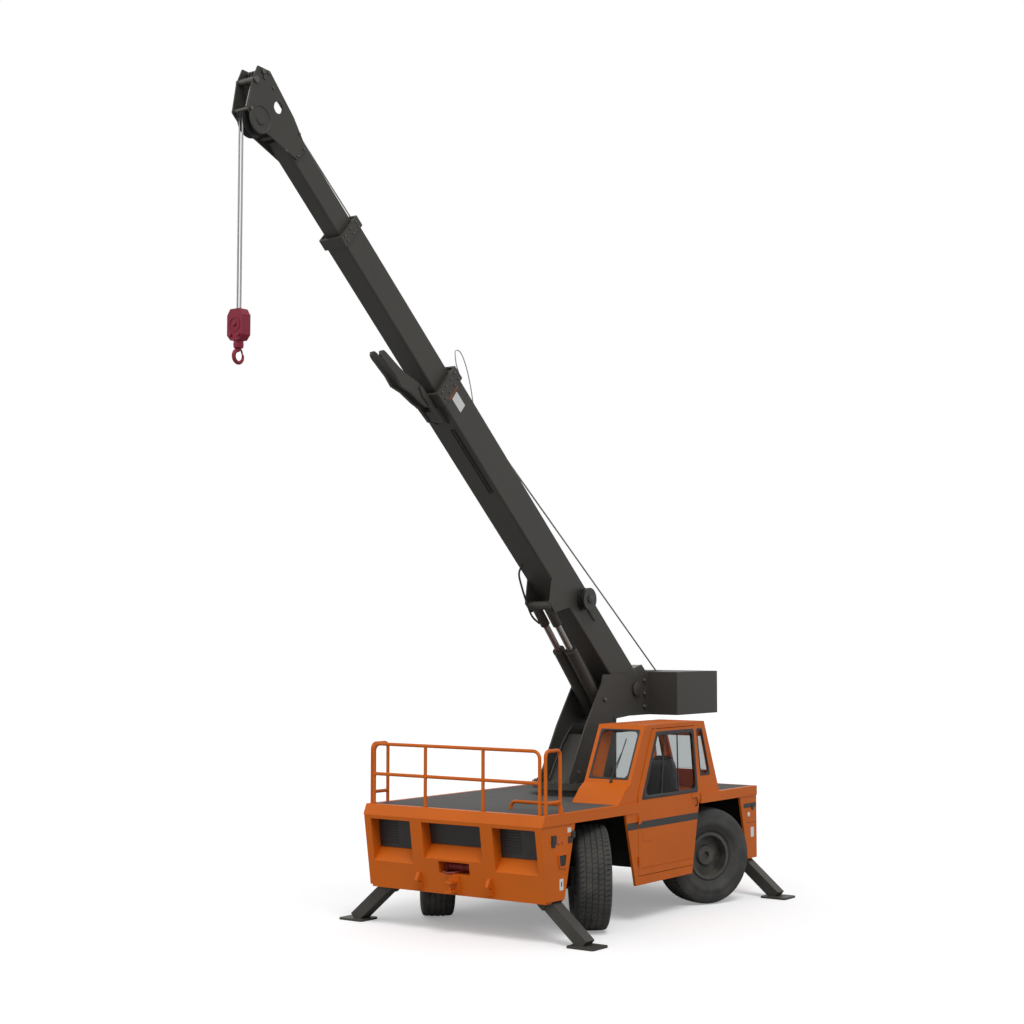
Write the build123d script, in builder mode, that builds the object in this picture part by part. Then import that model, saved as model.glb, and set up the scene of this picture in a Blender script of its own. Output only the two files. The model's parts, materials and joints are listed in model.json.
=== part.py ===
# Carry deck crane: a flat-decked four-wheel carrier with a side cab, a slewing mast and a three-section boom.
# Frame: X forward, Y to the left, Z up, millimetres, ground at Z = 0.
from build123d import *
from math import atan2, cos, hypot, radians, sin, tan
import os

os.makedirs("parts", exist_ok=True)

# Driving dimensions: carrier
WIDTH = 2440
LENGTH = 4645
FRONT = 676.1
DECK_Z = 1345
BAND_H = 115
BAND_OUT = 50
BAND_T = 60
DECK_T = 12
SKIN = 30
BODY_Z, CORNER_Z = 425, 450
NOSE_BACK = 75
TAIL, TAIL_Z = 255, 460
NOSE_IN = 40
ARCH_Z = DECK_Z - BAND_H
HALF = WIDTH / 2

# Driving dimensions: running gear
TYRE_R = 575
TYRE_W = 400
RIM_R = 265
RIM_W = 300
FRONT_AXLE = 1090
REAR_AXLE = LENGTH - 945
KINGPIN_Y = 860
WHEEL_OUT = 160
STEER_FRONT = 40
STEER_REAR = -24
FRAME_Y = 400
FRAME_T = 90
FRAME_Z0, FRAME_Z1 = 662, 960
AXLE_R = 85

# Driving dimensions: outriggers
LEG_SLOPE = 40
LEG_W, LEG_H = 160, 130
FOOT_Y = 1560
FOOT_L, FOOT_W, FOOT_T = 340, 300, 24
LEG_FRONT, LEG_REAR = 270, LENGTH - 120
LEG_TOP_Y, LEG_ROOM_Y = 560, 190
HOUSING_T = 12
HOUSING_GAP = 0.5
ROOM = HOUSING_GAP + HOUSING_T + 1

# Driving dimensions: cab
CAB_IN, CAB_OUT = 580, 1200
CAB_T = 35
ROOF_Z = 2200
DOOR_T = 35
DOOR_GAP = 7
TUB_Z = 620

# Driving dimensions: superstructure
SLEW = 2450
BEARING_R, PLATFORM_R = 470, 555
BEARING_H, PLATFORM_H = 75, 75
SLEW_GAP = 0.3
MAST_IN, MAST_T = 195, 20
MAST_TOP = 2750
CW_HALF, CW_LENGTH, CW_FRONT = 620, 1020, 3720
CW_Z0, CW_Z1 = 2237, 2768

# Driving dimensions: boom
LUFF = 42
PIVOT_BACK, PIVOT_Z = 3400, 2560
PIN_R = 45
LIFT_PIN_R = 30
BASE_W, BASE_D, BASE_END, BASE_BUTT = 360, 420, 5060, 260
MID_W, MID_D, MID_END, MID_LENGTH = 260, 340, 7140, 4700
TIP_W, TIP_D, TIP_END, TIP_LENGTH = 190, 270, 8300, 4300
PLATE = 10
LUG_S, LUG_N = 1950, -400
LIFT_BACK, LIFT_Z, LIFT_Y = 2920, 2220, 85
BARREL_R, ROD_R, EYE_R = 70, 38, 50
BARREL_LENGTH = 1130
SHEAVE_S, SHEAVE_N, SHEAVE_R, GROOVE_R = TIP_END + 320, -240, 160, 130
GUIDE_S, GUIDE_N, GUIDE_R = TIP_END + 560, 120, 80
FALLS = 1850
FALLS_R, FALLS_GAP = 9, 30

SLEW_X = FRONT - SLEW
PIVOT_X = FRONT - PIVOT_BACK


def back(distance):
    """X of a place given by its distance behind the carrier's front edge."""
    return FRONT - distance


def at_y(y):
    """Plane for a side outline in X and Z whose near face is at this Y; it is extruded towards -Y."""
    return Plane.XZ.offset(-y)


def block(xs, ys, zs, mode=Mode.ADD):
    """Box between two limits on each axis, in the part that is being built."""
    with Locations(((xs[0] + xs[1]) / 2, (ys[0] + ys[1]) / 2, (zs[0] + zs[1]) / 2)):
        Box(xs[1] - xs[0], ys[1] - ys[0], zs[1] - zs[0], mode=mode)


def leg_outline(side, y_in, y_out, half):
    """Corners in Y and Z of a bar along an outrigger's slope, between two places on its centre line."""
    dy, dz = cos(radians(LEG_SLOPE)), sin(radians(LEG_SLOPE))
    ends = [(y, FOOT_T + (FOOT_Y - y) * dz / dy) for y in (y_out, y_in)]
    across = (half * dz, half * dy)
    (ya, za), (yb, zb) = ends
    corners = [(ya - across[0], za - across[1]), (ya + across[0], za + across[1]),
               (yb + across[0], zb + across[1]), (yb - across[0], zb - across[1])]
    return [(side * y, z) for y, z in corners]


def save(part, label):
    """Name a finished piece and write its STEP file."""
    part.label = label
    export_step(part, "parts/" + label + ".step")


nose_low, nose_high, nose_rear = back(NOSE_BACK), back(-BAND_OUT), back(385)


def nose_x(z):
    """X of the sloped front face at a height."""
    return nose_low + (nose_high - nose_low) * (z - BODY_Z) / (ARCH_Z - BODY_Z)


# Chassis frame: two long box beams, cross members and the pedestal under the slewing bearing
with BuildPart() as chassis_frame:
    for side in (-1, 1):
        ys = sorted((side * FRAME_Y, side * (FRAME_Y - FRAME_T)))
        block((back(LENGTH - TAIL), nose_rear), ys, (FRAME_Z0, FRAME_Z1))
    for distance in (460, 1650, 3150, LENGTH - 345):
        inner = FRAME_Y - FRAME_T
        block((back(distance + 60), back(distance - 60)), (-inner, inner), (FRAME_Z0 + 40, FRAME_Z1 - 40))
    block((SLEW_X - 480, SLEW_X + 480), (-FRAME_Y, FRAME_Y), (FRAME_Z1, FRAME_Z1 + 30))
    with Locations((SLEW_X, 0, (FRAME_Z1 + 30 + DECK_Z - DECK_T) / 2)):
        Cylinder(BEARING_R - 30, DECK_Z - DECK_T - FRAME_Z1 - 30)
save(chassis_frame.part, "chassis_frame")

# Front body: sloped fascia block with three recessed bays, a winch slot and a bumper beam that stands proud
with BuildPart() as front_body:
    with BuildSketch(at_y(HALF - NOSE_IN)):
        Polygon((nose_rear, BODY_Z), (nose_low, BODY_Z), (nose_high, ARCH_Z), (nose_rear, ARCH_Z), align=None)
    extrude(amount=WIDTH - 2 * NOSE_IN)
    # recessed bays: y from, y to, z from, z to
    bays = [(-1120, -560, 720, 1190), (-400, 400, 800, 1190), (560, 1120, 720, 1190)]
    for y0, y1, z0, z1 in bays:
        with BuildSketch(at_y(y1)):
            Polygon(
                (back(-60), z0),
                (back(30), z0),
                (back(150), z0 + 150),
                (back(110), z1),
                (back(-60), z1),
                align=None,
            )
        extrude(amount=y1 - y0, mode=Mode.SUBTRACT)
    # winch slot in the middle of the beam
    block((back(330), back(-60)), (-210, 210), (655, 780), mode=Mode.SUBTRACT)
    # room for the sloped outrigger housings
    for side in (-1, 1):
        with BuildSketch(Plane.YZ.offset(back(LEG_FRONT) - LEG_W / 2 - ROOM)):
            Polygon(*leg_outline(side, LEG_ROOM_Y, FOOT_Y, LEG_H / 2 + ROOM), align=None)
        extrude(amount=LEG_W + 2 * ROOM, mode=Mode.SUBTRACT)
save(front_body.part, "front_body")

# Black panels at the back of the three bays
with BuildPart() as grille_panels:
    for y0, y1, z0, z1 in bays:
        low, high = z0 + 150, z1
        with BuildSketch(at_y(y1 - 8)):
            Polygon(
                (back(150), low), (back(132), low), (back(92), high), (back(110), high),
                align=None,
            )
        extrude(amount=y1 - y0 - 16)
save(grille_panels.part, "grille_panels")

# Deck band: the flared orange edge all round the deck, open where the cab stands
with BuildPart() as deck_band:
    block((back(LENGTH), back(0)), (-HALF, HALF), (ARCH_Z, DECK_Z))
    block((back(LENGTH - 40), back(BAND_T)), (BAND_T - HALF, HALF - BAND_T), (ARCH_Z, DECK_Z), mode=Mode.SUBTRACT)
    with BuildSketch(at_y(HALF)):
        Polygon((back(0), DECK_Z), (back(-BAND_OUT), ARCH_Z), (back(0), ARCH_Z), align=None)
    extrude(amount=WIDTH)
    # gap for the cab and its door
    block((back(3250), back(1843)), (HALF - BAND_T - 1, HALF + 1), (ARCH_Z - 1, DECK_Z + 1), mode=Mode.SUBTRACT)
save(deck_band.part, "deck_band")

# Deck: one dark non-skid plate inside the band, cut out for the cab
with BuildPart() as deck_plate:
    block((back(LENGTH - 40), back(BAND_T)), (BAND_T - HALF, HALF - BAND_T), (DECK_Z - DECK_T, DECK_Z))
    block((back(3735), back(1440)), (CAB_IN - 5, HALF), (ARCH_Z, DECK_Z + 1), mode=Mode.SUBTRACT)
save(deck_plate.part, "deck_plate")

# Side skins: the front corner, the right-hand middle panel, the sill and strip round the door, and the rear corner
front_corner = [(back(372), CORNER_Z), (nose_x(CORNER_Z), CORNER_Z), (nose_high, ARCH_Z), (back(578), ARCH_Z)]
middle_panel = [(back(1790), BODY_Z), (back(3040), BODY_Z + 8), (back(3215), ARCH_Z), (back(1580), ARCH_Z)]
rear_corner = [(back(LENGTH - 235), TAIL_Z), (back(LENGTH), TAIL_Z), (back(LENGTH), ARCH_Z),
               (back(LENGTH - 428), ARCH_Z)]
door_surround = [(back(1790), BODY_Z), (back(3040), BODY_Z + 8), (back(3058), 523), (back(1843), 523),
                 (back(1843), ARCH_Z), (back(1580), ARCH_Z)]
with BuildPart() as side_panels:
    for y, outline in ((HALF - 10, front_corner), (HALF - 10, rear_corner)):
        for side in (-1, 1):
            with BuildSketch(at_y(y if side > 0 else -y + SKIN)):
                Polygon(*outline, align=None)
            extrude(amount=SKIN)
    with BuildSketch(at_y(SKIN + 10 - HALF)):
        Polygon(*middle_panel, align=None)
    extrude(amount=SKIN)
    with BuildSketch(at_y(HALF - 10)):
        Polygon(*door_surround, align=None)
    extrude(amount=SKIN)
save(side_panels.part, "side_panels")

# Rear body: engine housing between and behind the rear wheels, with its tail panel and leg room
rear_tail = back(LENGTH)
with BuildPart() as rear_body:
    block((rear_tail, back(LENGTH - TAIL)), (NOSE_IN - HALF, HALF - NOSE_IN), (TAIL_Z, ARCH_Z))
    for side in (-1, 1):
        with BuildSketch(Plane.YZ.offset(back(LEG_REAR) - LEG_W / 2 - ROOM)):
            Polygon(*leg_outline(side, LEG_ROOM_Y, FOOT_Y, LEG_H / 2 + ROOM), align=None)
        extrude(amount=LEG_W + 2 * ROOM, mode=Mode.SUBTRACT)
    # tail grille bay
    block((rear_tail - 1, rear_tail + 18), (-350, 350), (900, 1180), mode=Mode.SUBTRACT)
save(rear_body.part, "rear_body")

# Engine: one plain block over the frame between the rear wheels
with BuildPart() as engine_block:
    block((back(LENGTH - 355), back(LENGTH - 1405)), (-FRAME_Y, FRAME_Y), (FRAME_Z1, ARCH_Z + 60))
save(engine_block.part, "engine_block")

# Rails: front rail with four posts, two corner rails and the low tie bar, all bent tube standing on the deck edge
RAIL_R = 19
RAIL_TOP = 2010
RAIL_MID = (DECK_Z + RAIL_TOP) / 2
RAIL_X, RAIL_Y = back(33), 1130


def tube(points, radius, corner=0):
    """Round tube along straight runs, with bent corners where it turns."""
    path = FilletPolyline(*points, radius=corner) if corner else Line(*points)
    return sweep(Plane(origin=path @ 0, z_dir=path % 0) * Circle(radius), path=path)


tie_x = back(420)
rail_tubes = [
    tube([(RAIL_X, -RAIL_Y, DECK_Z), (RAIL_X, -RAIL_Y, RAIL_TOP), (RAIL_X, RAIL_Y, RAIL_TOP),
          (RAIL_X, RAIL_Y, DECK_Z)], RAIL_R, 80),
    tube([(RAIL_X, -RAIL_Y, RAIL_MID), (RAIL_X, RAIL_Y, RAIL_MID)], RAIL_R),
    tube([(tie_x, 480, DECK_Z), (tie_x, 480, 1430), (tie_x, 1140, 1430), (tie_x, 1140, DECK_Z)], RAIL_R, 60),
]
for y in (-400, 390):
    rail_tubes.append(tube([(RAIL_X, y, DECK_Z), (RAIL_X, y, RAIL_TOP)], RAIL_R))
for y in (-1185, 1185):
    front, rear = back(60), back(330)
    rail_tubes.append(tube([(front, y, DECK_Z), (front, y, RAIL_TOP), (rear, y, RAIL_TOP), (rear, y, DECK_Z)],
                           RAIL_R, 60))
    rail_tubes.append(tube([(front, y, 1470), (rear, y, 1470)], RAIL_R))
with BuildPart() as deck_rails:
    for piece in rail_tubes:
        add(piece)
save(deck_rails.part, "deck_rails")

# Tow gear on the bumper beam: two lugs with shackle holes and the pintle with its pin
LUG_T, LUG_HOLE = 40, 22
with BuildPart() as tow_gear:
    for y in (-480, 480):
        with BuildSketch(at_y(y + LUG_T / 2)):
            Polygon((nose_x(440), 440), (back(2), 470), (back(-30), 560), (back(12), 640), (nose_x(640), 640), align=None)
            with Locations((back(20), 530)):
                Circle(LUG_HOLE, mode=Mode.SUBTRACT)
        extrude(amount=LUG_T)
    with BuildSketch(at_y(70)):
        Polygon((nose_x(440), 440), (back(50), 440), (back(22), 640), (nose_x(640), 640), align=None)
    extrude(amount=140)
    for z in (475, 575):
        block((back(45), back(-70)), (-45, 45), (z - 12, z + 12))
    with Locations((back(-35), 0, 525)):
        Cylinder(16, 150)
save(tow_gear.part, "tow_gear")

# Front winch: a drum between two end plates inside the slot
with BuildPart() as front_winch:
    with Locations((back(180), 0, 717)):
        Cylinder(42, 330, rotation=(90, 0, 0))
        for y in (-170, 170):
            with Locations((0, y, 0)):
                Cylinder(60, 24, rotation=(90, 0, 0))
    block((back(330), back(150)), (-210, -182), (655, 780))
    block((back(330), back(150)), (182, 210), (655, 780))
save(front_winch.part, "front_winch")

# Axles: a beam with a round differential bulb and a fork at each end for the kingpin
FORK_H, FORK_T = 250, 30
KING_R = 28
for name, distance in (("front_axle", FRONT_AXLE), ("rear_axle", REAR_AXLE)):
    with BuildPart() as axle:
        with Locations((back(distance), 0, TYRE_R)):
            Cylinder(AXLE_R, 2 * (KINGPIN_Y - 90), rotation=(90, 0, 0))
            Sphere(175)
        block((back(distance + 80), back(distance - 80)), (-395, 395), (TYRE_R + 60, FRAME_Z0))
        for side in (-1, 1):
            ys = sorted((side * (KINGPIN_Y - 130), side * (KINGPIN_Y - 90)))
            block((back(distance + 55), back(distance - 55)), ys, (TYRE_R - FORK_H / 2, TYRE_R + FORK_H / 2))
            ys = sorted((side * (KINGPIN_Y - 95), side * (KINGPIN_Y + 40)))
            for z in (TYRE_R - FORK_H / 2, TYRE_R + FORK_H / 2 - FORK_T):
                block((back(distance + 55), back(distance - 55)), ys, (z, z + FORK_T))
    save(axle.part, name)

# Wheels: table of corner name, distance behind the front edge, side, steer angle at rest
corners = [
    ("fl", FRONT_AXLE, 1, STEER_FRONT),
    ("fr", FRONT_AXLE, -1, STEER_FRONT),
    ("rl", REAR_AXLE, 1, STEER_REAR),
    ("rr", REAR_AXLE, -1, STEER_REAR),
]


def wheel_plane(distance, side, steer):
    """Plane at the wheel's centre, its normal pointing outwards along the stub axle."""
    angle = radians(steer)
    out = Vector(-sin(angle), cos(angle), 0) * side
    centre = Vector(back(distance), side * KINGPIN_Y, TYRE_R) + out * WHEEL_OUT
    return Plane(origin=centre, x_dir=(0, 0, 1), z_dir=out)


HUB_R, STUB_R = 110, 45
for corner, distance, side, steer in corners:
    wheel = wheel_plane(distance, side, steer)
    # knuckle: kingpin barrel between the fork's arms, a flange and the stub that carries the hub
    with BuildPart() as knuckle:
        with Locations((back(distance), side * KINGPIN_Y, TYRE_R)):
            Cylinder(48, FORK_H - 2 * FORK_T - 0.4)
        with BuildSketch(wheel.offset(-WHEEL_OUT)):
            Circle(STUB_R)
        extrude(amount=WHEEL_OUT + 20)
    save(knuckle.part, "knuckle_" + corner)
    # rim: rolled barrel with flanges, a dished disc and the hub with its cap and wheel nuts
    with BuildPart() as rim:
        with BuildSketch(Plane(origin=wheel.origin, x_dir=wheel.x_dir, z_dir=wheel.y_dir)):
            Polygon(
                (RIM_R - 22, RIM_W / 2), (RIM_R + 14, RIM_W / 2), (RIM_R + 14, RIM_W / 2 - 14),
                (RIM_R - 8, RIM_W / 2 - 14), (RIM_R - 8, 14 - RIM_W / 2), (RIM_R + 14, 14 - RIM_W / 2),
                (RIM_R + 14, -RIM_W / 2), (RIM_R - 22, -RIM_W / 2),
                align=None,
            )
            Polygon(
                (STUB_R + 0.3, 30), (STUB_R + 0.3, -75), (HUB_R, -75), (HUB_R + 20, -45), (RIM_R - 14, -25),
                (RIM_R - 14, -5), (HUB_R + 20, -20), (HUB_R - 10, -20), (HUB_R - 30, 30),
                align=None,
            )
        revolve(axis=Axis(wheel.origin, wheel.z_dir))
        with BuildSketch(wheel.offset(24)):
            Circle(HUB_R - 28)
        extrude(amount=22)
    save(rim.part, "rim_" + corner)
    # tyre: rounded shoulders, deep sidewalls and beads that seat on the rim
    with BuildPart() as tyre:
        with BuildSketch(Plane(origin=wheel.origin, x_dir=wheel.x_dir, z_dir=wheel.y_dir)):
            with BuildLine():
                half, bead = TYRE_W / 2, RIM_R - 7.7
                Line((bead, 15.5 - RIM_W / 2), (bead, RIM_W / 2 - 15.5))
                Line((bead, RIM_W / 2 - 15.5), (RIM_R + 30, RIM_W / 2 - 15.5))
                ThreePointArc((RIM_R + 30, RIM_W / 2 - 15.5), (RIM_R + 130, half), (TYRE_R - 70, half - 12))
                ThreePointArc((TYRE_R - 70, half - 12), (TYRE_R - 22, half - 30), (TYRE_R - 8, half - 75))
                ThreePointArc((TYRE_R - 8, half - 75), (TYRE_R, 0), (TYRE_R - 8, 75 - half))
                ThreePointArc((TYRE_R - 8, 75 - half), (TYRE_R - 22, 30 - half), (TYRE_R - 70, 12 - half))
                ThreePointArc((TYRE_R - 70, 12 - half), (RIM_R + 130, -half), (RIM_R + 30, 15.5 - RIM_W / 2))
                Line((RIM_R + 30, 15.5 - RIM_W / 2), (bead, 15.5 - RIM_W / 2))
            make_face()
        revolve(axis=Axis(wheel.origin, wheel.z_dir))
    save(tyre.part, "tyre_" + corner)

# Outriggers: table of corner name, distance behind the front edge, side
legs = [("fl", LEG_FRONT, 1), ("fr", LEG_FRONT, -1), ("rl", LEG_REAR, 1), ("rr", LEG_REAR, -1)]
for corner, distance, side in legs:
    x = back(distance)
    with BuildPart() as outrigger:
        with BuildSketch(Plane.YZ.offset(x - LEG_W / 2)):
            Polygon(*leg_outline(side, LEG_TOP_Y, FOOT_Y, LEG_H / 2), align=None)
        extrude(amount=LEG_W)
        block((x - 400, x + 400), (side * FOOT_Y - 400, side * FOOT_Y + 400), (-200, FOOT_T), mode=Mode.SUBTRACT)
        with BuildSketch(Plane.XY):
            with Locations((x, side * FOOT_Y)):
                RectangleRounded(FOOT_W, FOOT_L, 30)
        extrude(amount=FOOT_T)
    save(outrigger.part, "outrigger_" + corner)
with BuildPart() as outrigger_housings:
    for corner, distance, side in legs:
        with BuildSketch(Plane.YZ.offset(back(distance) - LEG_W / 2 - HOUSING_GAP - HOUSING_T)):
            Polygon(*leg_outline(side, LEG_TOP_Y - 55, 1110, LEG_H / 2 + HOUSING_GAP + HOUSING_T), align=None)
        extrude(amount=LEG_W + 2 * (HOUSING_GAP + HOUSING_T))
        with BuildSketch(Plane.YZ.offset(back(distance) - LEG_W / 2 - HOUSING_GAP)):
            Polygon(*leg_outline(side, LEG_TOP_Y - 200, 1300, LEG_H / 2 + HOUSING_GAP), align=None)
        extrude(amount=LEG_W + 2 * HOUSING_GAP, mode=Mode.SUBTRACT)
save(outrigger_housings.part, "outrigger_housings")

# Cab: folded shell with a low tub for the feet, windows cut, door opening in its left wall
cab_outline = [
    (back(1450), DECK_Z), (back(1600), 1500), (back(1700), 1560), (back(2020), ROOF_Z), (back(3360), ROOF_Z),
    (back(3720), DECK_Z), (back(2960), DECK_Z), (back(2960), TUB_Z), (back(1845), TUB_Z),
    (back(1845), DECK_Z),
]
door_outline = [
    (back(1850), 530), (back(1850), 1420), (back(2170), 2150), (back(3120), 2150), (back(3240), ARCH_Z + 60),
    (back(3205), ARCH_Z - 10), (back(3062), 530),
]
window_outline = [(back(1945), 1385), (back(2255), 2105), (back(3075), 2105), (back(3170), 1385)]
quarter_outline = [(back(3180), 2110), (back(3300), 2110), (back(3490), 1560), (back(3270), 1560)]
with BuildPart() as cab_shell:
    with BuildSketch(at_y(CAB_OUT)):
        Polygon(*cab_outline, align=None)
    extrude(amount=CAB_OUT - CAB_IN)
    with BuildSketch(at_y(CAB_OUT - CAB_T)):
        with BuildLine():
            Polyline(*cab_outline, close=True)
        make_face()
        offset(amount=-CAB_T, kind=Kind.INTERSECTION, mode=Mode.REPLACE)
    extrude(amount=CAB_OUT - CAB_IN - 2 * CAB_T, mode=Mode.SUBTRACT)
    # door opening and quarter window on the left, two windows on the right
    with BuildSketch(at_y(CAB_OUT + 1)):
        with BuildLine():
            Polyline(*door_outline, close=True)
        make_face()
        offset(amount=DOOR_GAP, kind=Kind.INTERSECTION, mode=Mode.REPLACE)
        Polygon(*quarter_outline, align=None)
    extrude(amount=CAB_T + 2, mode=Mode.SUBTRACT)
    with BuildSketch(at_y(CAB_IN + CAB_T + 1)):
        Polygon(*window_outline, align=None)
        Polygon(*quarter_outline, align=None)
    extrude(amount=CAB_T + 2, mode=Mode.SUBTRACT)
    # windscreen, cut square to its own slope, and rear window
    slope = atan2(ROOF_Z - 1560, 320)
    screen = Plane(origin=(back(1700), 0, 1560), x_dir=(0, 1, 0), z_dir=(sin(slope), 0, cos(slope)))
    screen_length = hypot(320, ROOF_Z - 1560)
    with BuildSketch(screen.offset(20)):
        with Locations(((CAB_IN + CAB_OUT) / 2, screen_length / 2 - 5)):
            RectangleRounded(CAB_OUT - CAB_IN - 110, screen_length - 120, 40)
    extrude(amount=-80, mode=Mode.SUBTRACT)
    block((back(3760), back(3400)), (CAB_IN + 70, CAB_OUT - 70), (1600, 2080), mode=Mode.SUBTRACT)
save(cab_shell.part, "cab_shell")

HINGE_R = 12
HINGE_X, HINGE_Y = back(1846), CAB_OUT + 10 + HINGE_R + 0.3

# Door: one panel from the roof rail down to the sill, its window cut, hinged on its front edge
with BuildPart() as door_panel:
    with BuildSketch(at_y(CAB_OUT + 10)):
        Polygon(*door_outline, align=None)
        Polygon(*window_outline, align=None, mode=Mode.SUBTRACT)
    extrude(amount=DOOR_T)
    with Locations((back(3080), CAB_OUT + 16, 1330)):
        Box(90, 12, 40)
    for z in (700, 1150):
        block((back(1910), HINGE_X), (CAB_OUT + 10, CAB_OUT + 16), (z - 40, z + 40))
        with Locations((HINGE_X, HINGE_Y, z)):
            Cylinder(HINGE_R, 90)
save(door_panel.part, "door_panel")
PANE_T = 6
with BuildPart() as door_glass:
    with BuildSketch(at_y(CAB_OUT - 2)):
        Polygon(*window_outline, align=None)
    extrude(amount=PANE_T)
save(door_glass.part, "door_glass")

# Cab glass: windscreen, the right-hand windows, the left quarter window and the rear window
with BuildPart() as cab_glass:
    for y, outline in ((CAB_OUT - 15, quarter_outline), (CAB_IN + 20, quarter_outline), (CAB_IN + 20, window_outline)):
        with BuildSketch(at_y(y)):
            Polygon(*outline, align=None)
        extrude(amount=PANE_T)
    with BuildSketch(screen.offset(-12)):
        with Locations(((CAB_IN + CAB_OUT) / 2, screen_length / 2 - 5)):
            RectangleRounded(CAB_OUT - CAB_IN - 110, screen_length - 120, 40)
    extrude(amount=-PANE_T)
    rear_slope = atan2(ROOF_Z - DECK_Z, 360)
    rear_x = back(3720) + (1840 - DECK_Z) / tan(rear_slope)
    rear_pane = Plane(origin=(rear_x, (CAB_IN + CAB_OUT) / 2, 1840), x_dir=(0, 1, 0),
                      z_dir=(-sin(rear_slope), 0, cos(rear_slope)))
    with BuildSketch(rear_pane.offset(-12)):
        Rectangle(CAB_OUT - CAB_IN - 140, 440 / sin(rear_slope))
    extrude(amount=-PANE_T)
save(cab_glass.part, "cab_glass")

# Seat: cushion, backrest and armrests on a box pedestal
SEAT_Y = (CAB_IN + CAB_OUT) / 2
with BuildPart() as seat:
    block((back(2860), back(2520)), (SEAT_Y - 180, SEAT_Y + 180), (TUB_Z + CAB_T, 1060))
    block((back(2875), back(2380)), (SEAT_Y - 235, SEAT_Y + 235), (1060, 1180))
    with BuildSketch(at_y(SEAT_Y + 225)):
        Polygon((back(2770), 1180), (back(2872), 1180), (back(2990), 1790), (back(2890), 1800), align=None)
    extrude(amount=450)
    fillet(seat.edges().filter_by(Axis.Y).group_by(Axis.Z)[-1], 30)
save(seat.part, "seat")

# Controls: dash console, steering column with its wheel, and the lever bank
with BuildPart() as cab_controls:
    with BuildSketch(at_y(SEAT_Y + 250)):
        Polygon((back(1880), 655), (back(2060), 655), (back(2020), 1390), (back(1880), 1440), align=None)
    extrude(amount=500)
    column = Plane(origin=(back(2040), SEAT_Y, 1350), x_dir=(0, 1, 0), z_dir=(-0.6, 0, 0.8))
    with BuildSketch(column):
        Circle(24)
    extrude(amount=150)
    with BuildSketch(column.offset(150)):
        Circle(185)
        Circle(168, mode=Mode.SUBTRACT)
        Rectangle(350, 26)
        Circle(36)
    extrude(amount=24)
save(cab_controls.part, "cab_controls")

# Lamps: square lamp boxes on the front corner panels and round tail reflectors
with BuildPart() as lamps:
    for side in (-1, 1):
        ys = sorted((side * (HALF - 10), side * (HALF + 4)))
        block((back(210), back(130)), ys, (1040, 1130))
        block((back(560), back(500)), ys, (1080, 1150))
        with Locations((back(LENGTH - 105), side * (HALF - 5), 1080)):
            Cylinder(28, 10, rotation=(90, 0, 0))
save(lamps.part, "lamps")

# Slewing bearing on the deck and the round platform that carries the mast
with BuildPart() as slew_bearing:
    with Locations((SLEW_X, 0, DECK_Z + BEARING_H / 2)):
        Cylinder(BEARING_R, BEARING_H)
save(slew_bearing.part, "slew_bearing")
platform_z = DECK_Z + BEARING_H + SLEW_GAP
with BuildPart() as slew_platform:
    with Locations((SLEW_X, 0, platform_z + PLATFORM_H / 2)):
        Cylinder(PLATFORM_R, PLATFORM_H)
save(slew_platform.part, "slew_platform")

# Mast: two tall side plates that fork at the top, the front leaning back, the rear reaching to the counterweight
mast_z = platform_z + PLATFORM_H
mast_outline = [
    (back(1935), mast_z), (back(1950), 1580), (back(2290), 2150), (back(2650), 2650), (back(2680), MAST_TOP),
    (back(CW_FRONT), MAST_TOP), (back(CW_FRONT), CW_Z0), (back(3250), CW_Z0), (back(2960), 2215),
    (back(2950), mast_z),
]
mast_out = MAST_IN + MAST_T
with BuildPart() as mast_plates:
    for y in (mast_out, -MAST_IN):
        with BuildSketch(at_y(y)):
            Polygon(*mast_outline, align=None)
            with Locations((PIVOT_X, PIVOT_Z)):
                Circle(PIN_R, mode=Mode.SUBTRACT)
            with Locations((back(LIFT_BACK), LIFT_Z)):
                Circle(LIFT_PIN_R, mode=Mode.SUBTRACT)
        extrude(amount=MAST_T)
save(mast_plates.part, "mast_plates")

# Mast webs: the rear wall, the floor plate under the lift cylinders and the pins of boom and cylinders
with BuildPart() as mast_webs:
    block((back(2945), back(2915)), (-MAST_IN, MAST_IN), (mast_z, 2080))
    with BuildSketch(at_y(MAST_IN)):
        Polygon((back(2050), mast_z), (back(2090), mast_z), (back(2560), 2010), (back(2530), 2035), align=None)
    extrude(amount=2 * MAST_IN)
    with Locations((PIVOT_X, 0, PIVOT_Z)):
        Cylinder(PIN_R, 2 * mast_out + 40, rotation=(90, 0, 0))
    with Locations((back(LIFT_BACK), 0, LIFT_Z)):
        Cylinder(LIFT_PIN_R, 2 * mast_out + 20, rotation=(90, 0, 0))
save(mast_webs.part, "mast_webs")

# Counterweight: a cast block behind the mast, notched at the front for the hoist winch
with BuildPart() as counterweight:
    block((back(CW_FRONT + CW_LENGTH), back(CW_FRONT)), (-CW_HALF, CW_HALF), (CW_Z0, CW_Z1))
    block((back(CW_FRONT + 330), back(CW_FRONT - 1)), (-MAST_IN, MAST_IN), (CW_Z0 - 1, CW_Z1 + 1), mode=Mode.SUBTRACT)
    fillet(counterweight.edges().filter_by(Axis.Z).group_by(Axis.X)[0], 20)
save(counterweight.part, "counterweight")

# Boom axes at rest: along the boom from its pivot, and square to it upwards
along = Vector(cos(radians(LUFF)), 0, sin(radians(LUFF)))
square = Vector(-sin(radians(LUFF)), 0, cos(radians(LUFF)))
pivot = Vector(PIVOT_X, 0, PIVOT_Z)


def boom_point(s, n, y=0):
    """Point given by its distance along the boom, its height over the centre line and its Y."""
    return pivot + along * s + square * n + Vector(0, y, 0)


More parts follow.
